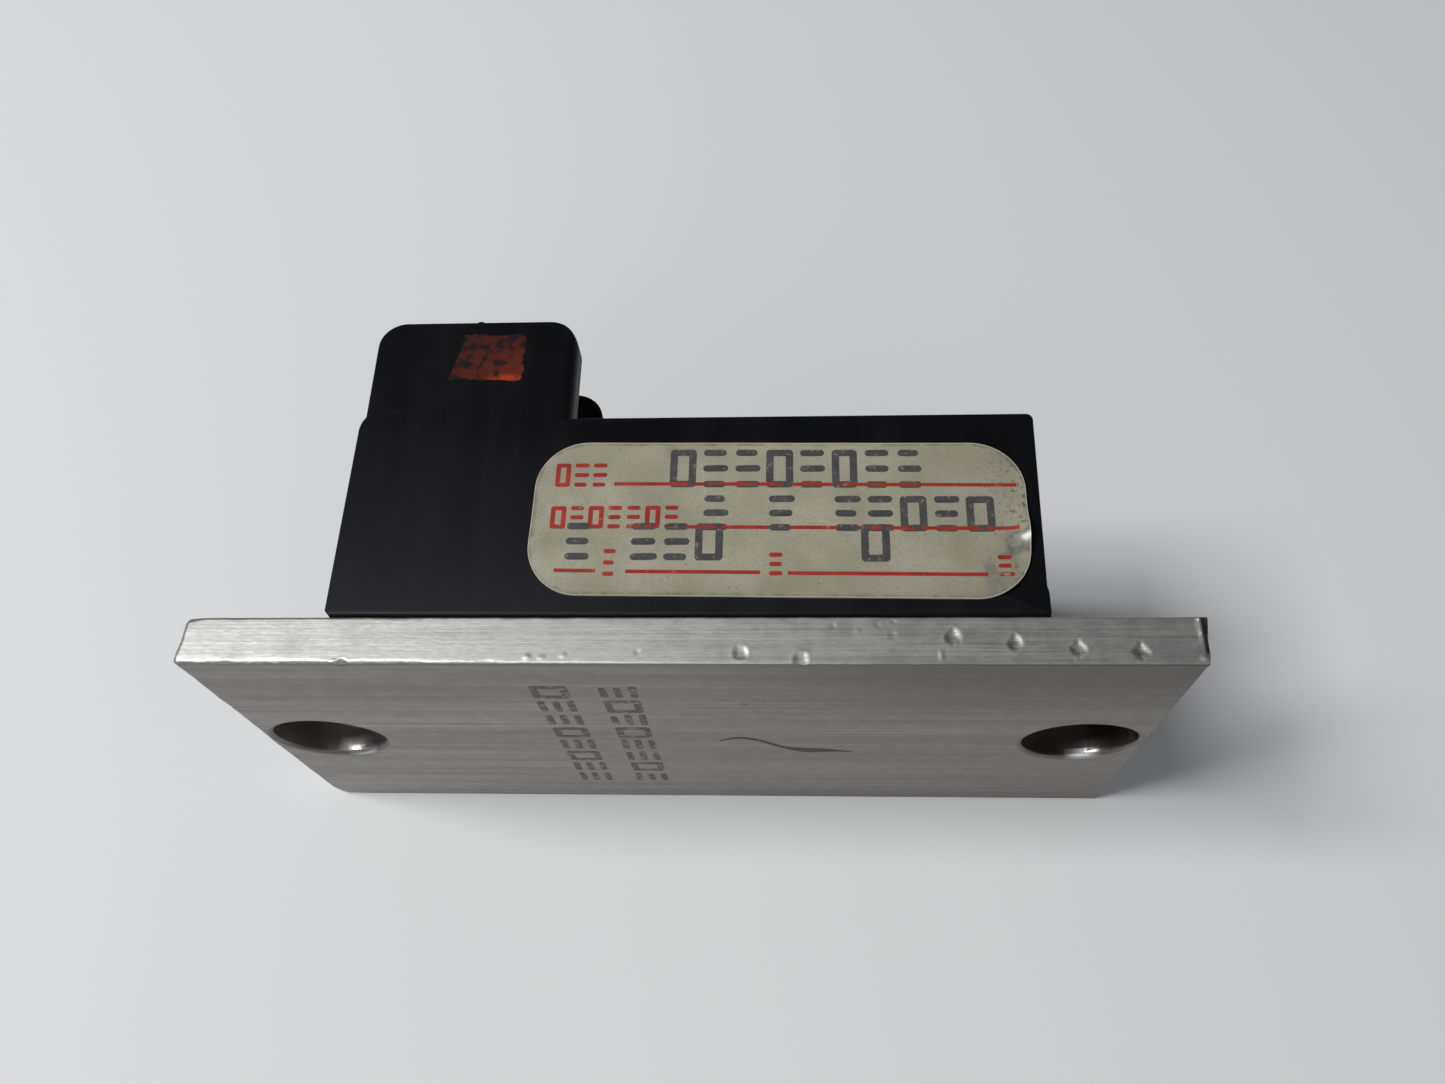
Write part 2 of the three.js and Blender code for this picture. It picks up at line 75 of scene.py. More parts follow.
BASE = 3.225
ROOF = 17.9
BLOCK_TOP = 26.0
HALF_LENGTH = 22.85
HALF_WIDTH = 15.725
DRAFT = math.tan(math.radians(0.5))
WALL = 2.0
OUTER_WALL = 2.2
BARRIER_WALL = 1.5
BARRIER_TOP = 24.7
BARRIER_OVERHANG = 0.75
BLOCK_LEFT = -22.35
BLOCK_RIGHT = -8.1
BAYS = 4
BAY_NUMBERS = range(1, BAYS + 1)
BOSS_BOTTOM = 11.45
BOSS_RIGHT = -9.5
CLEARANCE = 0.3
POCKET_DEPTH = 0.5
TERMINAL_THICKNESS = 0.8
TAIL_HALF = 1.8
INSERT_BORE = 2.5
EDGE_RADIUS = 0.15
WALL_RADIUS = 0.95
FOOT_RADIUS = 0.35

# The label is stuck on very slightly turned, and its print slopes with it.
LABEL_TILT = math.radians(-0.66)
LABEL_MIDDLE = (5.94, 10.06)
LABEL_HALF = (15.97, 5.58)
LABEL_RADIUS = 3.45
LABEL_THICKNESS = 0.16
# Where the label has lifted: x, y, radius, height.
LABEL_CURLS = [(22.4, 9.0, 1.1, 0.68), (20.2, 5.4, 1.0, 0.16), (-10.0, 8.2, 1.4, 0.14)]

# Four punch marks in a row, sloping down to the right on the labelled edge of the plate.
PUNCH_MARKS = [(16.74 + 3.71 * i, y) for i, y in enumerate((1.85, 1.43, 1.04, 0.88))]
PUNCH_SIZE = (0.56, 0.72, 0.06)  # half width, half height, depth
PUNCH_DULLED = 0.75  # how far around a mark the metal is dull

TINNED = (0.55, 0.55, 0.53)  # colour of the electronics' leads

# ---- materials


class Surface:
    """A Principled material whose texture nodes are wired by short calls."""

    def __init__(self, name, colour, roughness, metallic=0.0, specular=0.5):
        self.material = bpy.data.materials.new(name)
        self.material.use_nodes = True
        tree = self.material.node_tree
        self.nodes, self.links = tree.nodes, tree.links
        self.shader = self.nodes["Principled BSDF"]
        self.feed(self.shader, {"Base Color": (*colour, 1), "Roughness": roughness,
                                "Metallic": metallic, "Specular IOR Level": specular})
        self.place = self.make("TexCoord", {})["Object"]

    def feed(self, node, inputs):
        """Gives a node's inputs, by name or number, a constant or another node's output."""
        for key, value in inputs.items():
            if isinstance(value, bpy.types.NodeSocket):
                self.links.new(value, node.inputs[key])
            else:
                node.inputs[key].default_value = value

    def make(self, kind, inputs, **settings):
        """The outputs of a new node."""
        node = self.nodes.new("ShaderNode" + kind)
        for name, value in settings.items():
            setattr(node, name, value)
        self.feed(node, inputs)
        return node.outputs

    def noise(self, size, detail, seed=0, stretch=(1, 1, 1)):
        """Noise from 0 to 1, with features of about size millimetres, longer by stretch."""
        mapping = self.make("Mapping", {"Vector": self.place,
                                        "Scale": tuple(1 / (s * size * MM) for s in stretch),
                                        "Location": (seed, 1.7 * seed, 2.3 * seed)})
        inputs = {"Vector": mapping["Vector"], "Scale": 1.0, "Detail": detail}
        return self.make("TexNoise", inputs)["Fac"]

    def ramp(self, value, start, end, low=0.0, high=1.0):
        """value's run from start to end, turned into low to high and clamped there."""
        inputs = {"Value": value, "From Min": start, "From Max": end, "To Min": low, "To Max": high}
        return self.make("MapRange", inputs)["Result"]

    def axis(self, name):
        return self.make("SeparateXYZ", {"Vector": self.place})[name]

    def along(self, axis, start, end, low=0.0, high=1.0):
        """A ramp along an axis between two places in millimetres."""
        return self.ramp(self.axis(axis), start * MM, end * MM, low, high)

    def math(self, operation, *values):
        return self.make("Math", dict(enumerate(values)), operation=operation)["Value"]

    def times(self, first, second):
        return self.math("MULTIPLY", first, second)

    def plus(self, first, second):
        return self.math("ADD", first, second)

    def vector(self, operation, *values):
        outputs = self.make("VectorMath", dict(enumerate(values)), operation=operation)
        return outputs["Value" if operation == "LENGTH" else "Vector"]

    def mix(self, factor, first, second):
        """The colour first where factor is 0 and second where it is 1."""
        inputs = {"Factor": factor}
        for socket, colour in ((6, first), (7, second)):  # the node's two sockets for colours
            inputs[socket] = (*colour, 1) if isinstance(colour, tuple) else colour
        return self.make("Mix", inputs, data_type="RGBA")[2]

    def layered(self, colour, *layers):
        """The colour under layers, each a share and a tint."""
        for share, tint in layers:
            colour = self.mix(share, colour, tint)
        return colour

    def spot(self, place, radius, plane=(1, 1, 0)):
        """1 at a place, falling to 0 at radius, seen along the axis that the plane leaves out."""
        shifted = self.vector("SUBTRACT", self.place, tuple(c * MM for c in place))
        distance = self.vector("LENGTH", self.vector("MULTIPLY", shifted, plane))
        return self.ramp(distance, 0.3 * radius * MM, radius * MM, 1, 0)

    def stripe(self, axis, middle, half):
        """1 along a stripe across an axis, given in millimetres, with soft sides."""
        off = self.math("ABSOLUTE", self.plus(self.axis(axis), -middle * MM))
        return self.ramp(off, 0.6 * half * MM, 1.2 * half * MM, 1, 0)

    def smudged(self, colour, tint, patches, smudges):
        """The colour under patchy smudges of a tint: x, y, radius and strength."""
        for x, y, radius, strength in smudges:
            patchy = self.ramp(patches, 0.35, 0.6, 0, strength)
            colour = self.mix(self.times(self.spot((x, y, 0), radius), patchy), colour, tint)
        return colour

    def finished(self, colour, relief, depth, **more):
        """The material with bump of about depth millimetres; more are other shader inputs."""
        bump = self.make("Bump", {"Height": relief, "Distance": depth * MM})
        self.feed(self.shader, {"Base Color": colour, "Normal": bump["Normal"], **more})
        return self.material


def shaded(colour, share):
    """A colour made darker, or lighter where the share is above 1."""
    return tuple(min(1.0, share * c) for c in colour)


def sawn_edges(look, streaks, grime):
    """Colour of the cut edges: bright, with coarse saw marks towards the left end, and painted shade and
    highlights at the punch marks and the right end.
    """
    even = look.mix(look.ramp(streaks, 0.3, 0.7), (0.51, 0.51, 0.495), (0.575, 0.575, 0.56))
    coarse = look.mix(look.ramp(streaks, 0.38, 0.62), (0.41, 0.405, 0.39), (0.68, 0.68, 0.665))
    scratches = look.noise(0.09, 5, 21, (7, 1, 1))
    leftward = look.along("X", -26, -8, 1, 0)
    depth = look.ramp(leftward, 0, 1, 0.25, 0.6)
    sawn = look.layered(
        even,
        (leftward, coarse),
        (look.times(look.ramp(scratches, 0.48, 0.66), depth), (0.27, 0.265, 0.25)),
        (look.times(look.ramp(scratches, 0.42, 0.3), depth), (0.74, 0.74, 0.73)))
    sawn = look.smudged(sawn, (0.22, 0.21, 0.195), grime, (
        (-24.1, 1.5, 0.9, 0.55), (-20.3, 2.3, 1.3, 0.4), (10.2, 2.4, 0.7, 0.5), (14.0, 2.2, 0.8, 0.4)))
    for x, y in PUNCH_MARKS:
        # A dull mark, with a painted shadow on its left side and a painted highlight on the raised metal
        # on its right.
        for across, up, radius, start, low, high, tint in (
                (0, 0, PUNCH_DULLED, 0.3, 0.25, 0.65, (0.26, 0.255, 0.24)),
                (-0.28, -0.12, 0.42, 0.35, 0.4, 0.9, (0.11, 0.105, 0.1)),
                (0.24, 0.26, 0.32, 0.35, 0.9, 0.3, (0.85, 0.85, 0.84))):
            patchy = look.ramp(scratches, start, 0.6, low, high)
            dulled_and_painted_light = look.times(look.spot((x + across, y + up, 0), radius), patchy)
            sawn = look.mix(dulled_and_painted_light, sawn, tint)
    on_face = look.along("Z", 15.4, 15.65)
    # Painted shade in the groove and a painted highlight on the lip that a knock has left across the
    # right end.
    for middle, half, above, tint in ((31.85, 0.24, 0.6, (0.075, 0.07, 0.065)),
                                      (31.5, 0.1, 1.9, (0.8, 0.8, 0.79))):
        painted_groove_and_lip = look.times(look.stripe("X", middle, half),
                            look.along("Y", above - 0.2, above + 0.3))
        sawn = look.mix(look.times(painted_groove_and_lip, on_face), sawn, tint)
    # Grime, then painted shade that makes the cut edges darker towards the left end.
    return look.layered(sawn, (look.ramp(grime, 0.42, 0.68, 0, 0.3), (0.38, 0.375, 0.36)),
                        (look.along("X", -30, -4, 0.5, 0), (0.32, 0.32, 0.305)))


def oxidised_and_shaded_face(look, grime):
    """Colour of the mounting face: dull and finely lined along X, with painted shade that makes it darker
    to the right.
    """
    lines = look.noise(0.22, 4, 3, (150, 1, 1))
    bands = look.noise(2.0, 3, 6, (22, 1, 1))
    nicks = look.noise(0.38, 2, 11, (2.6, 1, 1))
    painted_shade_right = look.times(look.along("X", 0, 16), look.along("Z", 4, 12, 0, 0.6))
    line = look.times(look.stripe("Z", 7, 0.08), look.ramp(bands, 0.35, 0.6, 0.1, 0.6))
    patch = look.times(look.spot((5.2, 0, 8), 4.2, (1, 0, 1)),
                       look.ramp(nicks, 0.62, 0.68, 0, 0.7))
    return look.layered(
        (0.235, 0.225, 0.208),
        (look.ramp(lines, 0.3, 0.7), (0.355, 0.345, 0.325)),
        (look.ramp(bands, 0.4, 0.65, 0, 0.6), (0.2, 0.185, 0.165)),
        # Painted shade darker towards the right end, a darkening towards the labelled edge, and more
        # painted shade on the right half.
        (look.along("X", -8, 31, 0, 0.45), (0.17, 0.16, 0.15)),
        (look.along("Z", 8, 15.6, 0, 0.3), (0.16, 0.155, 0.145)),
        (painted_shade_right, (0.11, 0.105, 0.095)),
        (line, (0.42, 0.41, 0.39)),
        (patch, (0.07, 0.06, 0.055)),
        (look.ramp(grime, 0.5, 0.75, 0, 0.12), (0.36, 0.35, 0.33)))


def plate_metal():
    """Aluminium: bright sawn edges, a dull mounting face, bores dark with painted shade and a painted
    glint on each bore's rim.
    """
    look = Surface("plate_metal", (0.45, 0.445, 0.43), 0.4, metallic=1.0)
    streaks = look.noise(0.11, 4, 0, (110, 1, 1))
    grime = look.noise(1.1, 6, 7)
    folded = look.vector("SUBTRACT", look.vector("ABSOLUTE", look.place), (HOLE_X * MM, 0, 0))
    off_axis = look.vector("LENGTH", look.vector("MULTIPLY", folded, (1, 0, 1)))
    by_face = look.along("Y", 0.6, 0.8, 1, 0)

    def round_bore(near, far, most):
        """most within near of a bore's wall, falling to 0 at far."""
        return look.ramp(off_axis, (HOLE_RADIUS + near) * MM, (HOLE_RADIUS + far) * MM, most, 0)

    colour = look.mix(look.along("Y", 0.02, 0.12, 1, 0), sawn_edges(look, streaks, grime),
                      oxidised_and_shaded_face(look, grime))
    # Painted shade in the bores, darker in the right one, and a dark painted band round each rim on the
    # mounting face.
    bore_shade = look.mix(look.along("X", -20, 20), (0.24, 0.22, 0.205), (0.1, 0.09, 0.083))
    colour = look.layered(
        colour,
        (look.times(round_bore(0.2, 0.42, 0.75), by_face), (0.12, 0.11, 0.1)),
        (round_bore(0.01, 0.08, 1), bore_shade))
    rough = look.plus(look.ramp(streaks, 0.3, 0.7, 0.4, 0.48), look.ramp(grime, 0.4, 0.7, 0, 0.1))
    rounded = look.times(by_face, round_bore(0.12, 0.38, 1))
    # A painted glint low on each bore's rim, where the metal is also made smoother.
    for side, across in ((-1, 1.3), (1, 1)):
        spot = look.spot((side * HOLE_X + across, 0, -3.95), 1.4, (1, 0, 1))
        painted_glint = look.times(spot, rounded)
        colour = look.mix(painted_glint, colour, (0.88, 0.88, 0.88))
        rough = look.plus(rough, look.times(painted_glint, -0.22))
    for x, y in PUNCH_MARKS:
        rough = look.plus(rough, look.times(look.spot((x, y, 0), PUNCH_DULLED), 0.14))
    grain = look.noise(0.13, 3, 15, (2, 1, 1))
    return look.finished(colour, look.plus(look.times(streaks, 0.5), grain), 0.0022, Roughness=rough)


def moulded_plastic():
    """Black thermoset with a fine satin skin, faint scuffs and two specks of dust."""
    look = Surface("moulded_plastic", (0.004, 0.004, 0.0052), 0.44, specular=0.12)
    scuffs = look.noise(2.5, 6, 5, (1, 6, 1))
    flecks = look.noise(0.16, 2, 12)
    black = look.layered(
        (0.003, 0.0031, 0.0045),
        (look.ramp(scuffs, 0.45, 0.8), (0.007, 0.007, 0.0085)),
        (look.ramp(flecks, 0.78, 0.82, 0, 0.5), (0.05, 0.05, 0.05)),
        (look.spot((-9.29, 24.19, HALF_WIDTH), 0.16, (1, 1, 1)), (0.45, 0.44, 0.4)),
        (look.spot((-20.29, 18.53, HALF_WIDTH), 0.35, (1, 2.2, 1)), (0.02, 0.01, 0.006)))
    return look.finished(black, look.noise(0.25, 6), 0.006,
                         Roughness=look.ramp(scuffs, 0.3, 0.7, 0.4, 0.5))


def label_reach(look):
    """Distance past the label's straight-sided middle: 0 on it, growing round its corners."""
    offset = look.vector("SUBTRACT", look.place, tuple(c * MM for c in (*LABEL_MIDDLE, 0)))
    level = look.make("Mapping", {"Vector": offset, "Rotation": (0, 0, -LABEL_TILT)})["Vector"]
    flat = look.vector("ABSOLUTE", look.vector("MULTIPLY", level, (1, 1, 0)))
    half = [(c - LABEL_RADIUS) * MM for c in LABEL_HALF]
    beyond = look.vector("SUBTRACT", flat, (*half, 0))
    return look.vector("LENGTH", look.vector("MAXIMUM", beyond, (0, 0, 0)))


def aged_paper():
    """Varnished label stock, yellowed, speckled, grimy round its edge and stained."""
    look = Surface("aged_paper", (0.38, 0.35, 0.26), 0.38)
    clouds = look.noise(4.0, 7)
    fibres = look.noise(0.11, 4, 17, (1.8, 1, 1))
    specks = look.noise(0.22, 2, 4)
    grime = look.noise(0.8, 6, 9)
    dirt = look.times(look.ramp(look.noise(0.3, 3, 14), 0.56, 0.64),
                      look.along("X", 18.5, 21.8, 0, 0.8))
    reach = label_reach(look)
    wavering = look.plus(reach, look.ramp(grime, 0.3, 0.7, -0.22 * MM, 0.1 * MM))
    rim = look.ramp(wavering, (LABEL_RADIUS - 0.32) * MM, LABEL_RADIUS * MM, 0, 0.7)
    paper = look.layered(
        (0.325, 0.305, 0.225),
        (look.ramp(clouds, 0.35, 0.65), (0.415, 0.392, 0.302)),
        (look.ramp(fibres, 0.4, 0.66, 0, 0.35), (0.21, 0.2, 0.155)),
        (look.ramp(specks, 0.73, 0.78, 0, 0.85), (0.03, 0.027, 0.022)),
        (dirt, (0.06, 0.055, 0.045)),
        (look.along("X", 8, 21.8, 0, 0.22), (0.2, 0.185, 0.14)),
        (look.along("Y", 6.6, 4.6, 0, 0.25), (0.17, 0.155, 0.11)),
        (rim, (0.13, 0.11, 0.075)))
    paper = look.smudged(paper, (0.13, 0.125, 0.12), grime, (
        (20.9, 7.9, 1.5, 0.9), (19.6, 5.4, 1.2, 0.6), (19.2, 6.4, 0.8, 0.5), (-1.0, 15.0, 0.6, 0.7)))
    cut_edge = look.ramp(reach, (LABEL_RADIUS - 0.07) * MM, (LABEL_RADIUS - 0.03) * MM)
    lifted = look.times(look.spot((21.5, 8.8, 0), 1.4), -0.22)
    return look.finished(look.mix(cut_edge, paper, (0.5, 0.48, 0.41)), grime, 0.01,
                         Roughness=look.plus(look.ramp(clouds, 0.3, 0.7, 0.32, 0.46), lifted))


def worn_ink(name, ink, under, size, worn, roughness=0.5, metallic=0.0):
    """Ink that has partly gone, so that the colour under it shows in patches."""
    look = Surface(name, ink, roughness, metallic=metallic, specular=0.3)
    patches = look.noise(size, 6, 2)
    shade = look.noise(3 * size, 3, 8)
    toned = look.mix(look.ramp(shade, 0.35, 0.65), shaded(ink, 0.7), ink)
    gone = look.ramp(patches, worn, worn + 0.22, 0, 0.85)
    return look.finished(look.mix(gone, toned, under), patches, 0.004)


def stamp_ink():
    """Red stamp ink worn through to the black plastic, thickest along its lower right."""
    look = Surface("stamp_ink", (0.11, 0.014, 0.005), 0.5, specular=0.2)
    patches = look.noise(0.7, 6, 2)
    fresh = look.times(look.along("X", -17, -11.6), look.along("Y", 24.9, 20.9))
    bright = look.times(look.spot((-12.9, 21.2, 0), 1.5, (1, 3.6, 0)), 0.8)
    worn = look.plus(patches, look.times(fresh, -0.12))
    ink = look.layered(
        (0.06, 0.009, 0.004),
        (fresh, (0.135, 0.018, 0.006)),
        (bright, (0.42, 0.045, 0.008)),
        (look.ramp(worn, 0.44, 0.58, 0, 0.95), (0.006, 0.0055, 0.0065)))
    return look.finished(ink, patches, 0.004)


def plated(name, colour, roughness, tint):
    """Dull plating: fine brushing, and patches that have yellowed or dulled to tint."""
    look = Surface(name, colour, roughness, metallic=1.0)
    brushing = look.noise(0.06, 3, 0, (14, 14, 1))
    patches = look.noise(0.9, 5, 3)
    toned = look.layered(colour, (look.ramp(patches, 0.4, 0.7, 0, 0.7), tint),
                         (look.ramp(brushing, 0.45, 0.75, 0, 0.4), shaded(colour, 1.15)))
    return look.finished(toned, brushing, 0.002,
                         Roughness=look.ramp(patches, 0.3, 0.7, roughness - 0.06, roughness + 0.12))


def laminate():
    """Glass-epoxy board: a fine weave under a green-brown resin."""
    look = Surface("board_laminate", (0.1, 0.12, 0.04), 0.4)
    weave = look.plus(look.noise(0.25, 2, 0, (8, 1, 1)),
                      look.noise(0.25, 2, 5, (1, 1, 8)))
    colour = look.mix(look.ramp(weave, 0.8, 1.2), (0.075, 0.095, 0.03), (0.14, 0.155, 0.06))
    return look.finished(colour, weave, 0.01, Roughness=look.ramp(weave, 0.8, 1.2, 0.35, 0.5))


def mottled(name, dark, light, size, roughness, depth, leads_above=None):
    """Two close shades in soft mottling, with tinned leads above a height where one is given."""
    look = Surface(name, light, roughness, specular=0.4)
    clouds = look.noise(size, 5)
    grain = look.noise(0.2, 3, 6)
    colour = look.mix(look.ramp(clouds, 0.35, 0.65), dark, light)
    inputs = {"Roughness": look.ramp(grain, 0.3, 0.7, roughness - 0.05, roughness + 0.08)}
    if leads_above is not None:
        lead = look.ramp(look.axis("Y"), leads_above, leads_above + 0.05 * MM)
        colour = look.mix(lead, colour, TINNED)
        inputs["Metallic"] = lead
    return look.finished(colour, grain, depth, **inputs)


def banded(name, node, body, bands):
    """An axial part: lacquer with colour bands round it and tinned leads at its ends.

    Bands are (place along the body from -1 to 1, colour). The body takes up the middle of
    the node, between its leads.
    """
    low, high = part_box(node)
    middle, reach = (low.x + high.x) / 2, (high.x - low.x) / 2
    look = Surface(name, body, 0.4)
    clouds = look.noise(0.6, 4)
    offset = look.plus(look.axis("X"), -middle)
    colour = look.mix(look.ramp(clouds, 0.3, 0.7), shaded(body, 0.8), body)
    for place, band in bands:
        gap = look.math("ABSOLUTE", look.plus(offset, -0.55 * reach * place))
        colour = look.mix(look.ramp(gap, 0.24 * MM, 0.28 * MM, 1, 0), colour, band)
    lead = look.ramp(look.math("ABSOLUTE", offset), 0.78 * reach, 0.8 * reach)
    return look.finished(look.mix(lead, colour, TINNED), clouds, 0.01, Metallic=lead)


# ---- mesh helpers


def linked(name, data):
    """A new object in the scene."""
    thing = bpy.data.objects.new(name, data)
    bpy.context.scene.collection.objects.link(thing)
    return thing


def mesh_of(mesh_data, name="temporary"):
    """A mesh made of a bmesh, which is freed."""
    mesh = bpy.data.meshes.new(name)
    mesh_data.to_mesh(mesh)
    mesh_data.free()
    return mesh


def add_piece(name, mesh_data, material, body="root", smooth_angle=35):
    """Links a bmesh that is in millimetres as a piece that rides on a body."""
    bmesh.ops.scale(mesh_data, vec=(MM, MM, MM), verts=mesh_data.verts)
    mesh = mesh_of(mesh_data, name)
    mesh.shade_smooth()
    mesh.set_sharp_from_angle(angle=math.radians(smooth_angle))
    mesh.materials.append(material)
    piece = linked(name, mesh)
    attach(piece, body)
    return piece


def arc(centre, radius, start, end, steps):
    """Points on an arc, with its angles in degrees."""
    turns = [math.radians(start + (end - start) * i / steps) for i in range(steps + 1)]
    return [(centre[0] + radius * math.cos(t), centre[1] + radius * math.sin(t)) for t in turns]


def moved(points, x, y, turn):
    """Points turned about the origin, then moved to x, y."""
    c, s = math.cos(turn), math.sin(turn)
    return [(x + c * u - s * v, y + s * u + c * v) for u, v in points]


def rounded_box(x, y, width, height, radius, steps=4):
    points = []
    for side_x, side_y, start in ((1, -1, -90), (1, 1, 0), (-1, 1, 90), (-1, -1, 180)):
        centre = (x + side_x * (width / 2 - radius), y + side_y * (height / 2 - radius))
        points += arc(centre, radius, start, start + 90, steps)
    return points


def wound_alike(solid):
    """The solid with the faces of each closed shell wound the same way."""
    bmesh.ops.recalc_face_normals(solid, faces=solid.faces)
    return solid


def moved_by(solid, step):
    bmesh.ops.translate(solid, vec=step, verts=solid.verts)
    return solid


def skin(solid, rings):
    """Faces between rings of points; a ring of one point closes an end."""
    for lower, upper in zip(rings, rings[1:]):
        for i in range(max(len(lower), len(upper))):
            quad = [lower[i % len(lower)], lower[(i + 1) % len(lower)],
                    upper[(i + 1) % len(upper)], upper[i % len(upper)]]
            solid.faces.new(list(dict.fromkeys(quad)))
    return wound_alike(solid)


def capped(solid, rings):
    """Faces between rings of points and over both ends."""
    skin(solid, rings)
    solid.faces.new(rings[-1])
    solid.faces.new(rings[0][::-1])
    return wound_alike(solid)


def prism(outline, low, high):
    """A solid with the outline in XY from z low to z high."""
    solid = bmesh.new()
    return capped(solid, [[solid.verts.new((x, y, z)) for x, y in outline] for z in (low, high)])


def warped(solid, place):
    """The solid with each of its points moved to place(x, y, z)."""
    for vert in solid.verts:
        vert.co = place(*vert.co)
    return solid


def block(low, high):
    (x0, y0, z0), (x1, y1, z1) = low, high
    return prism([(x0, y0), (x1, y0), (x1, y1), (x0, y1)], z0, z1)


def turned(profile, steps, place=(0, 0, 0), carved=None):
    """A solid turned about Y: profile points are (radius, height), from axis to axis.

    carved(radius, height, turn) is how deep it is carved at a point.
    """
    solid = bmesh.new()
    rings = []
    for radius, height in profile:
        rings.append([])
        for turn in [i / steps for i in range(steps)] if radius else [0]:
            here = radius - (carved(radius, height, turn) if carved else 0)
            angle = 2 * math.pi * turn
            point = (here * math.cos(angle), height, here * math.sin(angle))
            rings[-1].append(solid.verts.new(point))
    return moved_by(skin(solid, rings), place)


def soften(piece, radius):
    """Rounds a piece's sharp edges to a radius in millimetres."""
    bevel = piece.modifiers.new("soft_edges", "BEVEL")
    bevel.width = radius * MM
    bevel.segments = 2
    bevel.limit_method = "ANGLE"
    bevel.angle_limit = math.radians(40)
    bevel.harden_normals = True


def cut(solid, tools, operation="DIFFERENCE"):
    """The solid with each tool cut away or joined on."""
    for tool in tools:
        base, other = (linked("temporary", mesh_of(mesh_data)) for mesh_data in (solid, tool))
        modifier = base.modifiers.new("cut", "BOOLEAN")
        modifier.operation = operation
        modifier.object = other
        modifier.solver = "MANIFOLD"
        graph = bpy.context.evaluated_depsgraph_get()
        solid = bmesh.new()
        solid.from_mesh(base.evaluated_get(graph).to_mesh())
        for thing in (base, other):
            bpy.data.meshes.remove(thing.data)  # which takes its object with it
    return solid


# ---- mounting plate


def grid_lines(half_length, step):
    """Grid lines from end to end, closer together beside both ends."""
    edge = [0.0, 0.04, 0.09, 0.15, 0.22, 0.3, 0.4, 0.52]
    inner = half_length - edge[-1]
    count = math.ceil(2 * inner / step)
    middle = [-inner + 2 * inner * i / count for i in range(1, count)]
    return [-half_length + e for e in edge] + middle + [half_length - e for e in reversed(edge)]


def box_shell(lines):
    """A closed box whose six faces are grids on the given x, y and z lines."""
    shell = bmesh.new()
    made = {}

    def corner(key):
        if key not in made:
            made[key] = shell.verts.new([lines[axis][key[axis]] for axis in range(3)])
        return made[key]

    for axis in range(3):
        u, v = (axis + 1) % 3, (axis + 2) % 3
        for side in (0, len(lines[axis]) - 1):
            for a in range(len(lines[u]) - 1):
                for b in range(len(lines[v]) - 1):
                    quad = []
                    for da, db in ((0, 0), (1, 0), (1, 1), (0, 1)):
                        key = [side, side, side]
                        key[u], key[v] = a + da, b + db
                        quad.append(corner(tuple(key)))
                    shell.faces.new(quad if side else quad[::-1])
    return shell


def roughened(place, *sizes):
    """Smooth noise of about -1 to 1, with features of the given sizes in millimetres."""
    return sum(noise.noise(Vector(place) / size) / (1 + i) for i, size in enumerate(sizes))


def eased(value):
    """0 below 0, 1 above 1 and smooth between."""
    share = min(1.0, max(0.0, value))
    return share * share * (3 - 2 * share)


def bell(value):
    """1 at 0, falling smoothly to nothing by about 2 on either side."""
    return math.exp(-(value**2))


def edge_radius(x, y, z):
    """How far the plate's edges are rounded at a point on its surface, y from its middle.

    The labelled side's lower edge is rolled over towards the left end and crisp at the right,
    the corners at the left end are rounder on the housing's side, and the one that rests on
    the floor there is worn round.
    """
    plain = 0.17 + 0.05 * roughened((x, y, z), 1.7, 0.45)
    rolled = (0.24 + 0.11 * roughened((x, y, z), 1.1, 0.3)) * (1 - eased((x + 24) / 34))
    lower = 0.09 + rolled if z > 0 else plain
    upper = plain + 0.3 * eased((1.6 - PLATE_HALF_LENGTH - x) / 1.6)
    radius = lower + (upper - lower) * eased(0.5 + y / 1.6)
    worn = eased((2.0 - PLATE_HALF_LENGTH - x) / 1.4) * eased((2.0 - PLATE_HALF_WIDTH - z) / 1.4)
    return max(0.07, radius + (0.52 - radius) * worn)


def round_edges(shell, half):
    for vert in shell.verts:
        radius = edge_radius(*vert.co)
        core = Vector([max(-h + radius, min(h - radius, c)) for c, h in zip(vert.co, half)])
        vert.co = core + radius * (vert.co - core).normalized()


# Dings, nicks and burrs on the same edge: x, y, half width, half height, depth.
DINGS = [
    (3.73, 0.78, 0.46, 0.46, 0.055),
    (7.42, 0.34, 0.46, 0.52, 0.055),
    (15.95, 0.60, 0.13, 0.42, -0.03),
    (9.42, 2.56, 0.20, 0.20, 0.018),
    (10.90, 2.25, 0.22, 0.16, -0.015),
    (12.15, 2.61, 0.20, 0.16, 0.022),
    (13.14, 2.84, 0.20, 0.16, 0.022),
    (13.07, 1.97, 0.24, 0.30, 0.018),
    (-9.43, 0.51, 0.26, 0.20, -0.026),
    (-8.60, 0.45, 0.30, 0.16, -0.022),
    (-7.20, 0.62, 0.22, 0.18, -0.018),
    (-2.60, 0.85, 0.18, 0.16, 0.022),
    (-21.09, 0.02, 0.30, 0.34, 0.11),
    (-21.60, 0.10, 0.24, 0.24, -0.03),
    (31.45, 0.50, 0.26, 0.24, -0.04),
]


def pit(reach):
    """Depth profile of a dent: a flat floor, a steep wall and a low lip around it."""
    return eased((1.05 - reach) / 0.5) - 0.16 * bell((reach - 1.2) / 0.14)


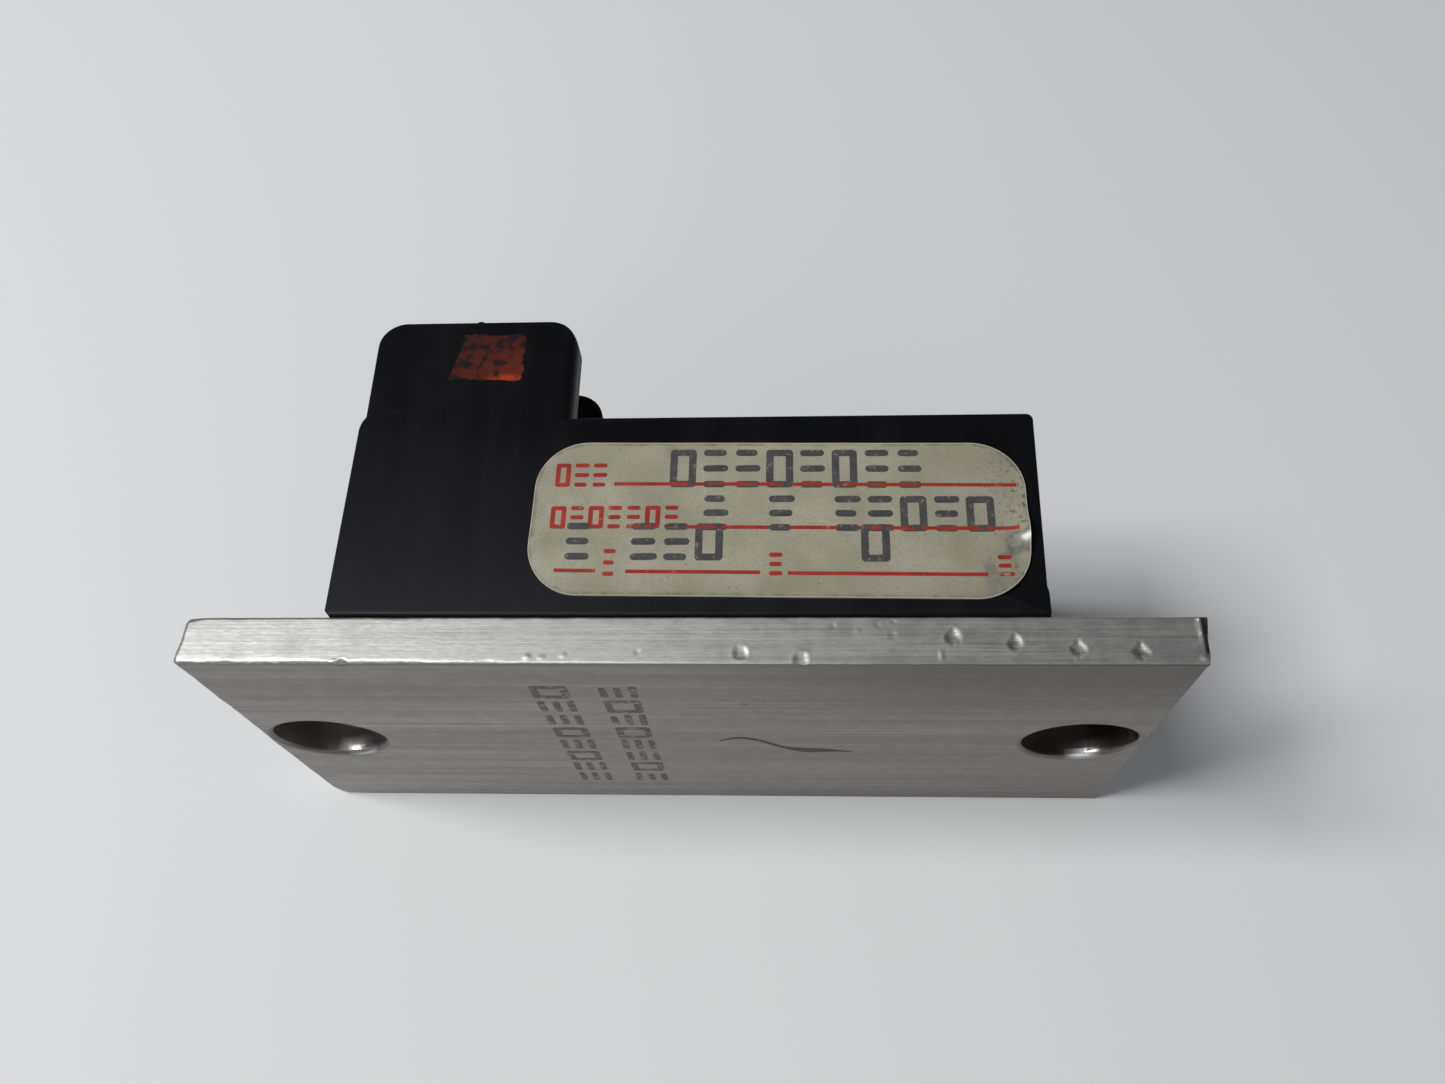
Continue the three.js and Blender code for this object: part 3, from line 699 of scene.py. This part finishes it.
def dent_depth(x, y):
    """How deep the labelled edge of the plate is dented at a point."""
    depth = 0.0
    half_width, half_height, punch_depth = PUNCH_SIZE
    for mark_x, mark_y in PUNCH_MARKS:
        reach = abs(x - mark_x) / half_width + abs(y - mark_y) / half_height
        if reach < 2:
            depth += punch_depth * pit(reach + 0.4 * roughened((x, y, 0), 0.45, 0.2))
    for ding_x, ding_y, half_width, half_height, ding_depth in DINGS:
        reach = math.hypot((x - ding_x) / half_width, (y - ding_y) / half_height)
        if reach < 2:
            depth += ding_depth * pit(reach + 0.3 * roughened((x, y, 5), 0.35))
    return depth


def end_lip(x, y):
    """The lip and the groove that a knock has left across the right end."""
    bend = 31.5 + 0.05 * (3.1 - y)
    ridge = 0.06 * bell((x - bend) / 0.12) - 0.05 * bell((x - bend - 0.32) / 0.14)
    return eased((y - 1.2) / 0.8) * ridge


def knock(shell):
    """Leans the sheared ends out, dents the labelled edge and knocks two corners."""
    front = PLATE_HALF_WIDTH - 0.3
    lean_right, lean_left, knocked, spread = 0.38, 0.18, 0.10, 0.7
    bend_from = 30.0
    bend = PLATE_HALF_LENGTH - bend_from
    corners = {side: Vector((side * PLATE_HALF_LENGTH, y, PLATE_HALF_WIDTH))
               for side, y in ((-1, 0.45), (1, 0.5))}
    for vert in shell.verts:
        level = vert.co.y / PLATE_THICKNESS
        vert.co.x += lean_right * level * eased((vert.co.x - bend_from) / bend)
        vert.co.x -= lean_left * (1 - level) * eased((-vert.co.x - bend_from) / bend)
        if vert.co.z < front:
            continue
        x, y, _ = vert.co
        vert.co.z += end_lip(x, y) - dent_depth(x, y)
        for side, corner in corners.items():
            vert.co.x += side * knocked * bell((vert.co - corner).length / spread)


def rolled_rim(inner, radius):
    """Profile of a cutter whose rim rolls over from the mounting face into the bore."""
    flare = inner + radius
    return [(0, -1), (flare, -1)] + arc((flare, radius), radius, 270, 180, 8)


def base_plate(material):
    half = Vector((PLATE_HALF_LENGTH, PLATE_THICKNESS / 2, PLATE_HALF_WIDTH))
    fine, coarse = 0.12, 0.8
    shell = box_shell([grid_lines(half.x, fine), grid_lines(half.y, fine),
                       grid_lines(half.z, coarse)])
    round_edges(shell, half)
    moved_by(shell, (0, half.y, 0))
    knock(shell)
    rim, chamfer = 0.3, 0.22
    flare = HOLE_RADIUS + chamfer
    bore = rolled_rim(HOLE_RADIUS, rim) + [
        (HOLE_RADIUS, PLATE_THICKNESS - chamfer),
        (flare, PLATE_THICKNESS),
        (flare, PLATE_THICKNESS + 1),
        (0, PLATE_THICKNESS + 1),
    ]
    wear = 0.6
    worn = rolled_rim(HOLE_RADIUS - 0.25, wear) + [(0, wear)]
    cutters = []
    for side in (-1, 1):
        cutters.append(turned(bore, 96, (side * HOLE_X, 0, 0)))
        cutters.append(turned(worn, 96, (side * HOLE_X + 0.16, 0, -0.20)))
    piece = add_piece("mounting_plate", cut(shell, cutters), material)
    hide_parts("base_plate")


# ---- housing


def lean(y):
    """How far the mould's draft has drawn a side in at height y."""
    return DRAFT * (y - BASE)


def side_height(y):
    """z of the labelled side at height y."""
    return HALF_WIDTH - lean(y)


def with_draft(solid):
    return warped(solid, lambda x, y, z: (x, y, z - math.copysign(lean(y), z)))


def top_corners(left, right, top):
    """The rounded corners over the terminals, the right one first."""
    left_radius, right_radius = 1.95, 2.1
    points = arc((right - right_radius, top - right_radius), right_radius, 0, 90, 14)
    return points + arc((left + left_radius, top - left_radius), left_radius, 90, 180, 12)


def side_outline():
    """The housing seen along Z, anticlockwise: the low box and the terminal block on it."""
    step, step_level, step_radius = 0.37, ROOF - 0.85, 1.9
    left, corner = BLOCK_LEFT - step, 0.45
    right, right_foot = HALF_LENGTH + 0.08, HALF_LENGTH - 0.10
    step_end = 180 - math.degrees(math.acos(1 - step / step_radius))
    points = [(-HALF_LENGTH + 0.4, BASE), (HALF_LENGTH - 0.05, BASE), (HALF_LENGTH, BASE + 0.3),
              (HALF_LENGTH, BASE + 1.6), (right_foot, BASE + 2.1)]
    points += arc((right - corner, ROOF - corner), corner, 0, 90, 6)
    points += [(BLOCK_RIGHT + 0.6, ROOF), (BLOCK_RIGHT, ROOF)]
    points += top_corners(BLOCK_LEFT, BLOCK_RIGHT, BLOCK_TOP)
    points += arc((left + step_radius, step_level), step_radius, step_end, 180, 6)
    points.append((-HALF_LENGTH, BASE + 0.5))
    return points


def side_radius(x, y):
    """How far the side edges are rounded: most down the block's right wall, more at the foot."""
    if y < BASE + 0.1:
        return FOOT_RADIUS
    on_right = y > ROOF and x > BLOCK_RIGHT - 2.2
    on_wall = eased((BLOCK_TOP - 0.2 - y) / 2.0) if on_right else 0
    return EDGE_RADIUS + (WALL_RADIUS - EDGE_RADIUS) * on_wall


def inset(before, here, after):
    """Where an outline's corner goes when both of its sides move in by their radii."""
    sides = []
    for start, end in ((before, here), (here, after)):
        along = (end - start).normalized()
        sides.append((Vector((-along.y, along.x)), side_radius(*(start + end) / 2)))
    (first, first_radius), (second, second_radius) = sides
    spread = first.cross(second)
    if abs(spread) < 0.35:
        move = (first + second).normalized() * (first_radius + second_radius) / 2
    else:
        move = Vector((first_radius * second.y - second_radius * first.y,
                       second_radius * first.x - first_radius * second.x)) / spread
    return move, max(first_radius, second_radius)


def rounded_prism(outline, half_width):
    """A solid with the outline in XY, its edges rounded at both ends of its width in Z."""
    segments = 6
    solid = bmesh.new()
    outline = [Vector(point) for point in outline]
    neighbours = zip(outline[-1:] + outline[:-1], outline, outline[1:] + outline[:1])
    moves = [inset(*points) for points in neighbours]
    rings = []
    for side in (-1, 1):
        for i in range(segments + 1):
            turn = math.pi / 2 * (i if side < 0 else segments - i) / segments
            rings.append([])
            for point, (move, radius) in zip(outline, moves):
                x, y = point + move * (1 - math.sin(turn))
                z = side * (half_width - radius * (1 - math.cos(turn)))
                rings[-1].append(solid.verts.new((x, y, z)))
    return capped(solid, rings)


WIDTH_AT_ROOF = 2 * side_height(ROOF)
BAY_WIDTH = (WIDTH_AT_ROOF - 2 * OUTER_WALL - (BAYS - 1) * BARRIER_WALL) / BAYS
BAY_PITCH = BAY_WIDTH + BARRIER_WALL


def bay_centre(number):
    """Bay 1 is next to the labelled side."""
    return ((BAYS + 1) / 2 - number) * BAY_PITCH


def solid_block():
    """The housing's outside: the low box, two tall walls and three barriers between the bays."""
    shell = with_draft(rounded_prism(side_outline(), HALF_WIDTH))
    gap = side_height(ROOF) - OUTER_WALL
    between = block((-HALF_LENGTH - 1, ROOF, -gap), (0, BLOCK_TOP + 1, gap))
    left, right, foot = BLOCK_LEFT + 0.02, BLOCK_RIGHT + BARRIER_OVERHANG, ROOF - 1
    outline = [(left, foot), (right + 0.1, foot)] + top_corners(left, right, BARRIER_TOP)
    barriers = []
    for number in range(1, BAYS):
        middle = bay_centre(number) - BAY_PITCH / 2
        barriers.append(prism(outline, middle - BARRIER_WALL / 2, middle + BARRIER_WALL / 2))
    return cut(cut(shell, [between]), barriers, "UNION")


def hollows():
    """The cavity in two steps, deeper to the right of the terminals' bosses."""
    end, side, below = HALF_LENGTH - WALL, HALF_WIDTH - WALL, BASE - 1
    yield block((-end, below, -side), (end, BOSS_BOTTOM, side))
    yield block((BOSS_RIGHT, below, -side), (end, ROOF - WALL, side))


def terminal_recess(number):
    """A bay's pocket for its terminal plate, the slot for its tail and the insert's bore."""
    low, high = (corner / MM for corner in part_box(f"terminal_plate_{number}"))
    screw_low, screw_high = (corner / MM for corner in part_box(f"terminal_screw_{number}"))
    z = (low.z + high.z) / 2
    floor = ROOF - POCKET_DEPTH
    bottom, top = screw_low.y - 2 * CLEARANCE, floor + 0.5
    yield block((low.x - CLEARANCE, floor, low.z - CLEARANCE),
                (high.x + CLEARANCE, ROOF + 1, high.z + CLEARANCE))
    yield block((high.x - TERMINAL_THICKNESS - CLEARANCE, ROOF - WALL - 1, z - TAIL_HALF),
                (high.x + CLEARANCE, floor + 1, z + TAIL_HALF))
    bore = [(0, bottom), (INSERT_BORE, bottom), (INSERT_BORE, top), (0, top)]
    yield turned(bore, 48, ((screw_low.x + screw_high.x) / 2, 0, z))


def housing(material):
    shell = cut(solid_block(), hollows())
    for number in BAY_NUMBERS:
        shell = cut(shell, terminal_recess(number))
    # The stub of the mould's gate, on top of the tall wall.
    stub = turned([(0, -0.4), (0.34, -0.4), (0.34, 0.10), (0.24, 0.18), (0, 0.20)], 16,
                  (-15.2, BLOCK_TOP, side_height(BLOCK_TOP) - 0.45))
    shell = cut(shell, [stub], "UNION")
    bmesh.ops.dissolve_limit(shell, angle_limit=math.radians(1), verts=shell.verts,
                             edges=shell.edges)
    piece = add_piece("relay_housing", shell, material, smooth_angle=30)
    soften(piece, EDGE_RADIUS)
    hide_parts("housing")


# ---- label


def label_lift(x, y):
    """How far the label stands off the housing: it ripples, and its lower right has lifted."""
    lift = 0.05 + 0.025 * roughened((x, y, 0), 5.0, 2.2)
    for curl_x, curl_y, radius, height in LABEL_CURLS:
        lift += height * bell(math.hypot(x - curl_x, y - curl_y) / radius)
    return max(0.03, lift)


def laid_on_side(solid, on_label=False):
    """Drapes a flat solid, modelled up from z = 0, over the labelled side."""
    for vert in solid.verts:
        x, y, _ = vert.co
        vert.co.z += side_height(y) + (label_lift(x, y) + LABEL_THICKNESS if on_label else 0)
    return solid


def rating_label(material):
    step = 0.25
    lines = []
    for middle, half in zip(LABEL_MIDDLE, LABEL_HALF):
        count = math.ceil((half + 1) / step)
        lines.append([middle + step * i for i in range(-count, count + 1)])
    lines.append([0, LABEL_THICKNESS])
    outline = rounded_box(0, 0, *(2 * half for half in LABEL_HALF), LABEL_RADIUS, steps=20)
    outline = moved(outline, *LABEL_MIDDLE, LABEL_TILT)
    sheet = cut(box_shell(lines), [prism(outline, -1, 1)], "INTERSECT")
    warped(sheet, lambda x, y, z: (x, y, z + label_lift(x, y)))
    piece = add_piece("label_sheet", laid_on_side(sheet), material)
    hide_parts("rating_label")


# ---- print and ink
#
# The label and the stamps carry no lettering: each character is a plain open box or a plain
# stack of three dashes.

INK_BOTTOM, INK_TOP = 0.004, 0.016
PRINT_SLOPE = math.tan(LABEL_TILT)


def inked(outline):
    return prism(outline, INK_BOTTOM, INK_TOP)


def joined(solids):
    """Several separate solids as one mesh."""
    whole = bmesh.new()
    for solid in solids:
        mesh = mesh_of(solid)
        whole.from_mesh(mesh)
        bpy.data.meshes.remove(mesh)
    return whole


def stack(x, y, width, height, thickness):
    """Three plain dashes with round ends, one over the other."""
    pieces = []
    for row in (-1, 0, 1):
        jitter = noise.noise((x, y, row))
        length = width * (0.9 + 0.2 * jitter)
        centre = (x + 0.08 * width * jitter, y + row * (height - thickness) / 2)
        radius = thickness / 2
        reach = max(0, length / 2 - radius)
        dash = arc((reach, 0), radius, -90, 90, 6) + arc((-reach, 0), radius, 90, 270, 6)
        pieces.append(inked(moved(dash, *centre, 0.03 * jitter)))
    return pieces


def open_box(x, y, width, height, thickness):
    """A plain rectangle drawn with one stroke, as a flat ring of ink."""
    jitter = noise.noise((x, y, 9))
    width *= 1 + 0.1 * jitter
    corner = 0.55 * thickness
    outer = rounded_box(x, y, width, height, corner)
    inner = rounded_box(x, y, width - 2 * thickness, height - 2 * thickness, 0.3 * corner)
    levels = ((outer, INK_BOTTOM), (inner, INK_BOTTOM), (inner, INK_TOP), (outer, INK_TOP))
    solid = bmesh.new()
    rows = [[solid.verts.new((*point, z)) for point in outline] for outline, z in levels]
    return [skin(solid, rows + rows[:1])]


def mark(index, *place):
    """The index decides between the two plain marks."""
    return open_box(*place) if index % 5 in (0, 3) else stack(*place)


def row_of_marks(index, left, right, y, height, count, thickness):
    """Marks from left to right; the index decides which plain marks they are."""
    cell = (right - left) / count
    solids = []
    for i in range(count):
        x = left + cell * (i + 0.5)
        solids += mark(index + i, x, y, 0.8 * abs(cell), height, thickness)
    return solids


def print_on_label(name, solids, material):
    """Adds flat pieces of ink as one piece on the label."""
    add_piece(name, laid_on_side(joined(solids), on_label=True), material)


def label_typing(ink):
    """Typed marks: first x, y, height, and which cells of the row are filled."""
    pitch = 2.12
    rows = [
        (-0.24, 13.75, 2.85, range(8)),
        (1.98, 10.45, 2.55, (0, 2, 4, 5, 6, 7, 8)),
        (-6.87, 8.35, 2.65, (0, 2, 3, 4, 9)),
    ]
    solids = []
    for row, (first, y, height, cells) in enumerate(rows):
        for cell in cells:
            x = first + pitch * cell
            solids += mark(cell + 2 * row, x, y + PRINT_SLOPE * x, 1.74, height, 0.48)
    print_on_label("label_typing", solids, ink)


def label_captions(ink):
    """Printed captions: left, right, y, height and how many marks."""
    solids = []
    for row, caption in enumerate((
            (-8.8, -5.15, 13.3, 1.75, 3),
            (-8.9, -0.25, 10.15, 1.65, 7),
            (-5.3, -4.2, 6.9, 1.9, 1),
            (5.3, 6.45, 6.75, 1.6, 1),
            (19.6, 20.85, 6.55, 1.5, 1))):
        solids += row_of_marks(3 * row, *caption, 0.3)
    print_on_label("label_captions", solids, ink)


def label_rules(ink):
    """The printed lines that the typing stands on: left, right, and y at x = 0."""
    thickness, step = 0.25, 0.5
    rules = [
        (-4.75, 21.36, 12.57),
        (0.05, 21.26, 9.42),
        (-8.25, -5.6, 6.26),
        (-3.65, 4.9, 6.22),
        (6.65, 19.12, 6.19),
    ]
    solids = []
    for left, right, y in rules:
        count = max(2, round((right - left) / step))
        xs = [left + (right - left) * i / count for i in range(count + 1)]
        rule = box_shell([xs, [y - thickness / 2, y + thickness / 2], [INK_BOTTOM, INK_TOP]])
        solids.append(warped(rule, lambda x, y, z: (x, y + PRINT_SLOPE * x, z)))
    print_on_label("label_rules", solids, ink)


def approval_patch(ink):
    """A plain worn blot of red ink, ragged round its edge, on the tall wall's side."""
    centre = Vector((-14.4, 22.9))
    corners = [Vector(c) for c in ((-16.95, 21.15), (-11.85, 21.0), (-11.75, 24.8), (-16.15, 24.9))]
    outline = []
    for start, end in zip(corners, corners[1:] + corners[:1]):
        steps = round((end - start).length / 0.1)
        for i in range(steps):
            place = start.lerp(end, i / steps)
            ragged = 0.10 * roughened((*place, 3), 0.9, 0.3)
            outline.append(tuple(centre + (place - centre) * (1 + ragged)))
    add_piece("ink_patch", laid_on_side(inked(outline)), ink)


def on_underside(solid):
    """Turns a flat solid modelled in XY, up from z = 0, onto the plate's mounting face."""
    return wound_alike(warped(solid, lambda x, y, z: (x, -z, y)))


def underside_rows(ink):
    """Two faded rows of marks that read across the mounting face."""
    solids = []
    for row, x in enumerate((-8.95, -4.45)):
        solids += row_of_marks(2 * row, 12.1, -11.4, x, 2.5, 8, 0.5)
    across = warped(joined(solids), lambda x, y, z: (y, x, z))
    add_piece("ink_rows", on_underside(across), ink)


def pen_stroke(ink):
    """A plain stroke of a pen: one open wave whose tail swells and runs out to a point."""
    left, right, count = 1.6, 11.2, 64
    upper, lower = [], []
    for i in range(count + 1):
        share = i / count
        x = left + (right - left) * share
        y = 1.5 * math.sin(2.3 * math.pi * share) * (1 - share) - 2.7 * share
        tail = 0.30 * bell((share - 0.72) / 0.18)
        half = (0.22 + tail) * math.sin(math.pi * min(0.985, 0.04 + share)) ** 0.35
        upper.append((x, y + half))
        lower.append((x, y - half))
    stroke = inked(lower + upper[::-1])
    add_piece("pen_stroke", on_underside(stroke), ink)


# ---- terminals

THREAD_PITCH = 0.635
THREAD_DEPTH = 0.26
ROWS_PER_TURN = 8
SHANK_LENGTH = 6.0
SHANK_RADIUS = 1.2
HEAD_RADIUS = 2.4
HEAD_HEIGHT = 1.8
SLOT_WIDTH = 0.8
SLOT_DEPTH = 0.9


def thread_cut(radius, height, turn):
    """How deep the right-handed thread is cut on the shank at a height below the head."""
    if radius != SHANK_RADIUS:
        return 0
    phase = (height / THREAD_PITCH + turn) % 1.0
    fade = eased((-height - 0.25) / 0.4)
    return THREAD_DEPTH * fade * min(1.0, 1.6 * abs(2 * phase - 1))


def screw_body():
    """Shank, thread and cheese head, turned about Y, with the head's seat at height 0."""
    tip, tip_radius = 0.45, 0.75
    rows = math.ceil((SHANK_LENGTH - tip) / THREAD_PITCH * ROWS_PER_TURN)
    profile = [(0, -SHANK_LENGTH), (tip_radius, -SHANK_LENGTH)]
    for i in range(rows + 1):
        profile.append((SHANK_RADIUS, -SHANK_LENGTH + tip + (SHANK_LENGTH - tip) * i / rows))
    seat_edge, crown = 0.12, 0.62
    profile += arc((HEAD_RADIUS - seat_edge, seat_edge), seat_edge, -90, 0, 4)
    profile += arc((HEAD_RADIUS - crown, HEAD_HEIGHT - crown), crown, 0, 80, 8)
    return turned(profile + [(0, HEAD_HEIGHT + 0.02)], 40, carved=thread_cut)


def slotted(solid, turn):
    """The screw with its slot cut and turned to where it was last left."""
    half = SLOT_WIDTH / 2
    slot = block((-HEAD_RADIUS - 1, HEAD_HEIGHT - SLOT_DEPTH, -half),
                 (HEAD_RADIUS + 1, HEAD_HEIGHT + 1, half))
    rotation = Matrix.Rotation(math.radians(turn), 3, "Y")
    bmesh.ops.rotate(slot, matrix=rotation, verts=slot.verts)
    return cut(solid, [slot])


def terminal_screws(material):
    for number, turn in zip(BAY_NUMBERS, (18, 74, -31, 52)):
        low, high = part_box(f"terminal_screw_{number}")
        seat = low / MM + Vector((0, SHANK_LENGTH, 0))
        middle = (low + high) / (2 * MM)
        screw = moved_by(slotted(screw_body(), turn), (middle.x, seat.y, middle.z))
        piece = add_piece(f"slotted_screw_{number}", screw, material,
                          f"screw_{number}")
        soften(piece, 0.06)
        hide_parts(f"terminal_screw_{number}")


def clamp_plates(material):
    """Captive square clamps with cut corners and gripping grooves across their undersides."""
    corner, depth, hole_radius = 0.5, 0.14, 1.5
    for number in BAY_NUMBERS:
        low, high = (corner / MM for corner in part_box(f"clamp_plate_{number}"))
        middle, half = (low + high) / 2, (high - low) / 2
        plate = prism(rounded_box(0, 0, 2 * half.x, 2 * half.z, corner, steps=1), -half.y, half.y)
        wound_alike(warped(plate, lambda x, y, z: (x, z, y)))
        grooves = []
        for side in (-1, 1):
            for step in range(3):
                x = side * (half.x - 0.75 - 0.45 * step)
                grooves.append(block((x - 0.1, -half.y - 1, -half.z - 1),
                                     (x + 0.1, -half.y + depth, half.z + 1)))
        hole = [(0, -2), (hole_radius, -2), (hole_radius, 2), (0, 2)]
        plate = moved_by(cut(plate, grooves + [turned(hole, 40)]), middle)
        piece = add_piece(f"wire_clamp_{number}", plate, material,
                          f"clamp_{number}")
        soften(piece, 0.1)
        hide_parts(f"clamp_plate_{number}")


# ---- carried-over CAD nodes


def dress(node, material, radius):
    """Gives a CAD node its material and softly rounded edges."""
    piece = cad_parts[node]
    for material_slot in piece.material_slots:
        material_slot.material = material
    soften(piece, radius)


def dress_terminals():
    nickel = plated("nickel", (0.56, 0.53, 0.47), 0.30, (0.40, 0.36, 0.27))
    brass = plated("brass", (0.60, 0.42, 0.16), 0.32, (0.38, 0.25, 0.10))
    for number in BAY_NUMBERS:
        dress(f"terminal_plate_{number}", nickel, 0.1)
        dress(f"thread_insert_{number}", brass, 0.1)


def dress_electronics():
    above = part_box("circuit_board")[0].y - 0.28 * MM
    epoxy = mottled("moulded_epoxy", (0.011, 0.011, 0.012), (0.022, 0.022, 0.024), 1.2, 0.5,
                    0.008, leads_above=above)
    dress("circuit_board", laminate(), 0.08)
    for node in ("power_triac", "trigger_thyristor", "opto_coupler", "bridge_rectifier"):
        dress(node, epoxy, 0.12)
    dress("snubber_capacitor", mottled("dipped_film", (0.20, 0.035, 0.012), (0.30, 0.06, 0.02),
                                       1.5, 0.3, 0.02, leads_above=above), 0.25)
    for node, radius, *shades in (
            ("ceramic_insulator", 0.08, "alumina", (0.66, 0.65, 0.60), (0.78, 0.77, 0.73),
             2.0, 0.6, 0.01),
            ("potting_block", 0.2, "potting_resin", (0.010, 0.008, 0.006), (0.030, 0.022, 0.015),
             4.0, 0.28, 0.03)):
        dress(node, mottled(*shades), radius)
    tan, brown = (0.45, 0.32, 0.18), (0.10, 0.04, 0.015)
    red, gold, silver = (0.4, 0.02, 0.01), (0.5, 0.33, 0.08), (0.5, 0.5, 0.5)
    for node, *code in (("input_resistor", red, red, brown), ("gate_resistor", brown, red, brown),
                        ("snubber_resistor", brown, brown, brown)):
        bands = [(-0.6 + 0.4 * i, colour) for i, colour in enumerate((*code, gold))]
        dress(node, banded(node + "_lacquer", node, tan, bands), 0.12)
    dress("input_diode", banded("diode_epoxy", "input_diode", (0.02, 0.02, 0.022),
                                [(0.6, silver)]), 0.12)


# ---- studio


def studio():
    floor_material = Surface("floor", (0.78, 0.785, 0.79), 0.8).material
    mesh = bpy.data.meshes.new("floor")
    half = 3.0  # metres
    corners = [(x, y, cad_low.z) for x, y in ((-half, -half), (half, -half), (half, half), (-half, half))]
    mesh.from_pydata(corners, [], [(0, 1, 2, 3)])
    mesh.materials.append(floor_material)
    floor = linked("floor", mesh)

    world = bpy.data.worlds.new("studio")
    world.use_nodes = True
    background = world.node_tree.nodes["Background"]
    background.inputs["Color"].default_value = (0.95, 0.97, 1.0, 1)
    background.inputs["Strength"].default_value = 0.125
    bpy.context.scene.world = world

    area_light("window", (-0.32, -0.015, 0.50), 0.20, 2.8)
    area_light("fill", (0.02, -0.50, 0.35), 0.50, 0.42)


def area_light(name, place, size, power):
    light = bpy.data.lights.new(name, "AREA")
    light.size = size
    light.energy = power
    lamp = linked(name, light)
    lamp.location = place
    lamp.rotation_euler = (-Vector(place)).to_track_quat("-Z", "Y").to_euler()


def camera():
    """The photograph's viewpoint: above the labelled side, from below the plate."""
    data = bpy.data.cameras.new("camera")
    data.lens = 30.824
    data.sensor_width = 36
    data.clip_start = 0.005
    viewer = linked("camera", data)
    viewer.location = (0.00726, -0.02615, 0.08691)
    viewer.rotation_euler = [math.radians(turn) for turn in (25.915, 3.230, 1.273)]
    bpy.context.scene.camera = viewer
    bpy.context.scene.view_settings.view_transform = "Standard"


# ---- everything in place

camera()
studio()
base_plate(plate_metal())
housing(moulded_plastic())
rating_label(aged_paper())

PAPER = (0.35, 0.328, 0.243)
DULL_METAL = (0.30, 0.29, 0.27)
red_ink = worn_ink("red_ink", (0.40, 0.033, 0.018), PAPER, 0.5, worn=0.62)
label_rules(red_ink)
label_captions(red_ink)
label_typing(worn_ink("ribbon_ink", (0.075, 0.075, 0.078), PAPER, 0.35, worn=0.58))
approval_patch(stamp_ink())
underside_rows(worn_ink("faded_ink", (0.085, 0.078, 0.072), DULL_METAL, 0.45, worn=0.50,
                        roughness=0.45, metallic=0.6))
pen_stroke(worn_ink("pen_ink", (0.045, 0.038, 0.034), DULL_METAL, 0.4, worn=0.58, metallic=0.3))

zinc = plated("zinc", (0.50, 0.51, 0.52), 0.34, (0.38, 0.36, 0.31))
terminal_screws(zinc)
clamp_plates(zinc)
dress_terminals()
dress_electronics()
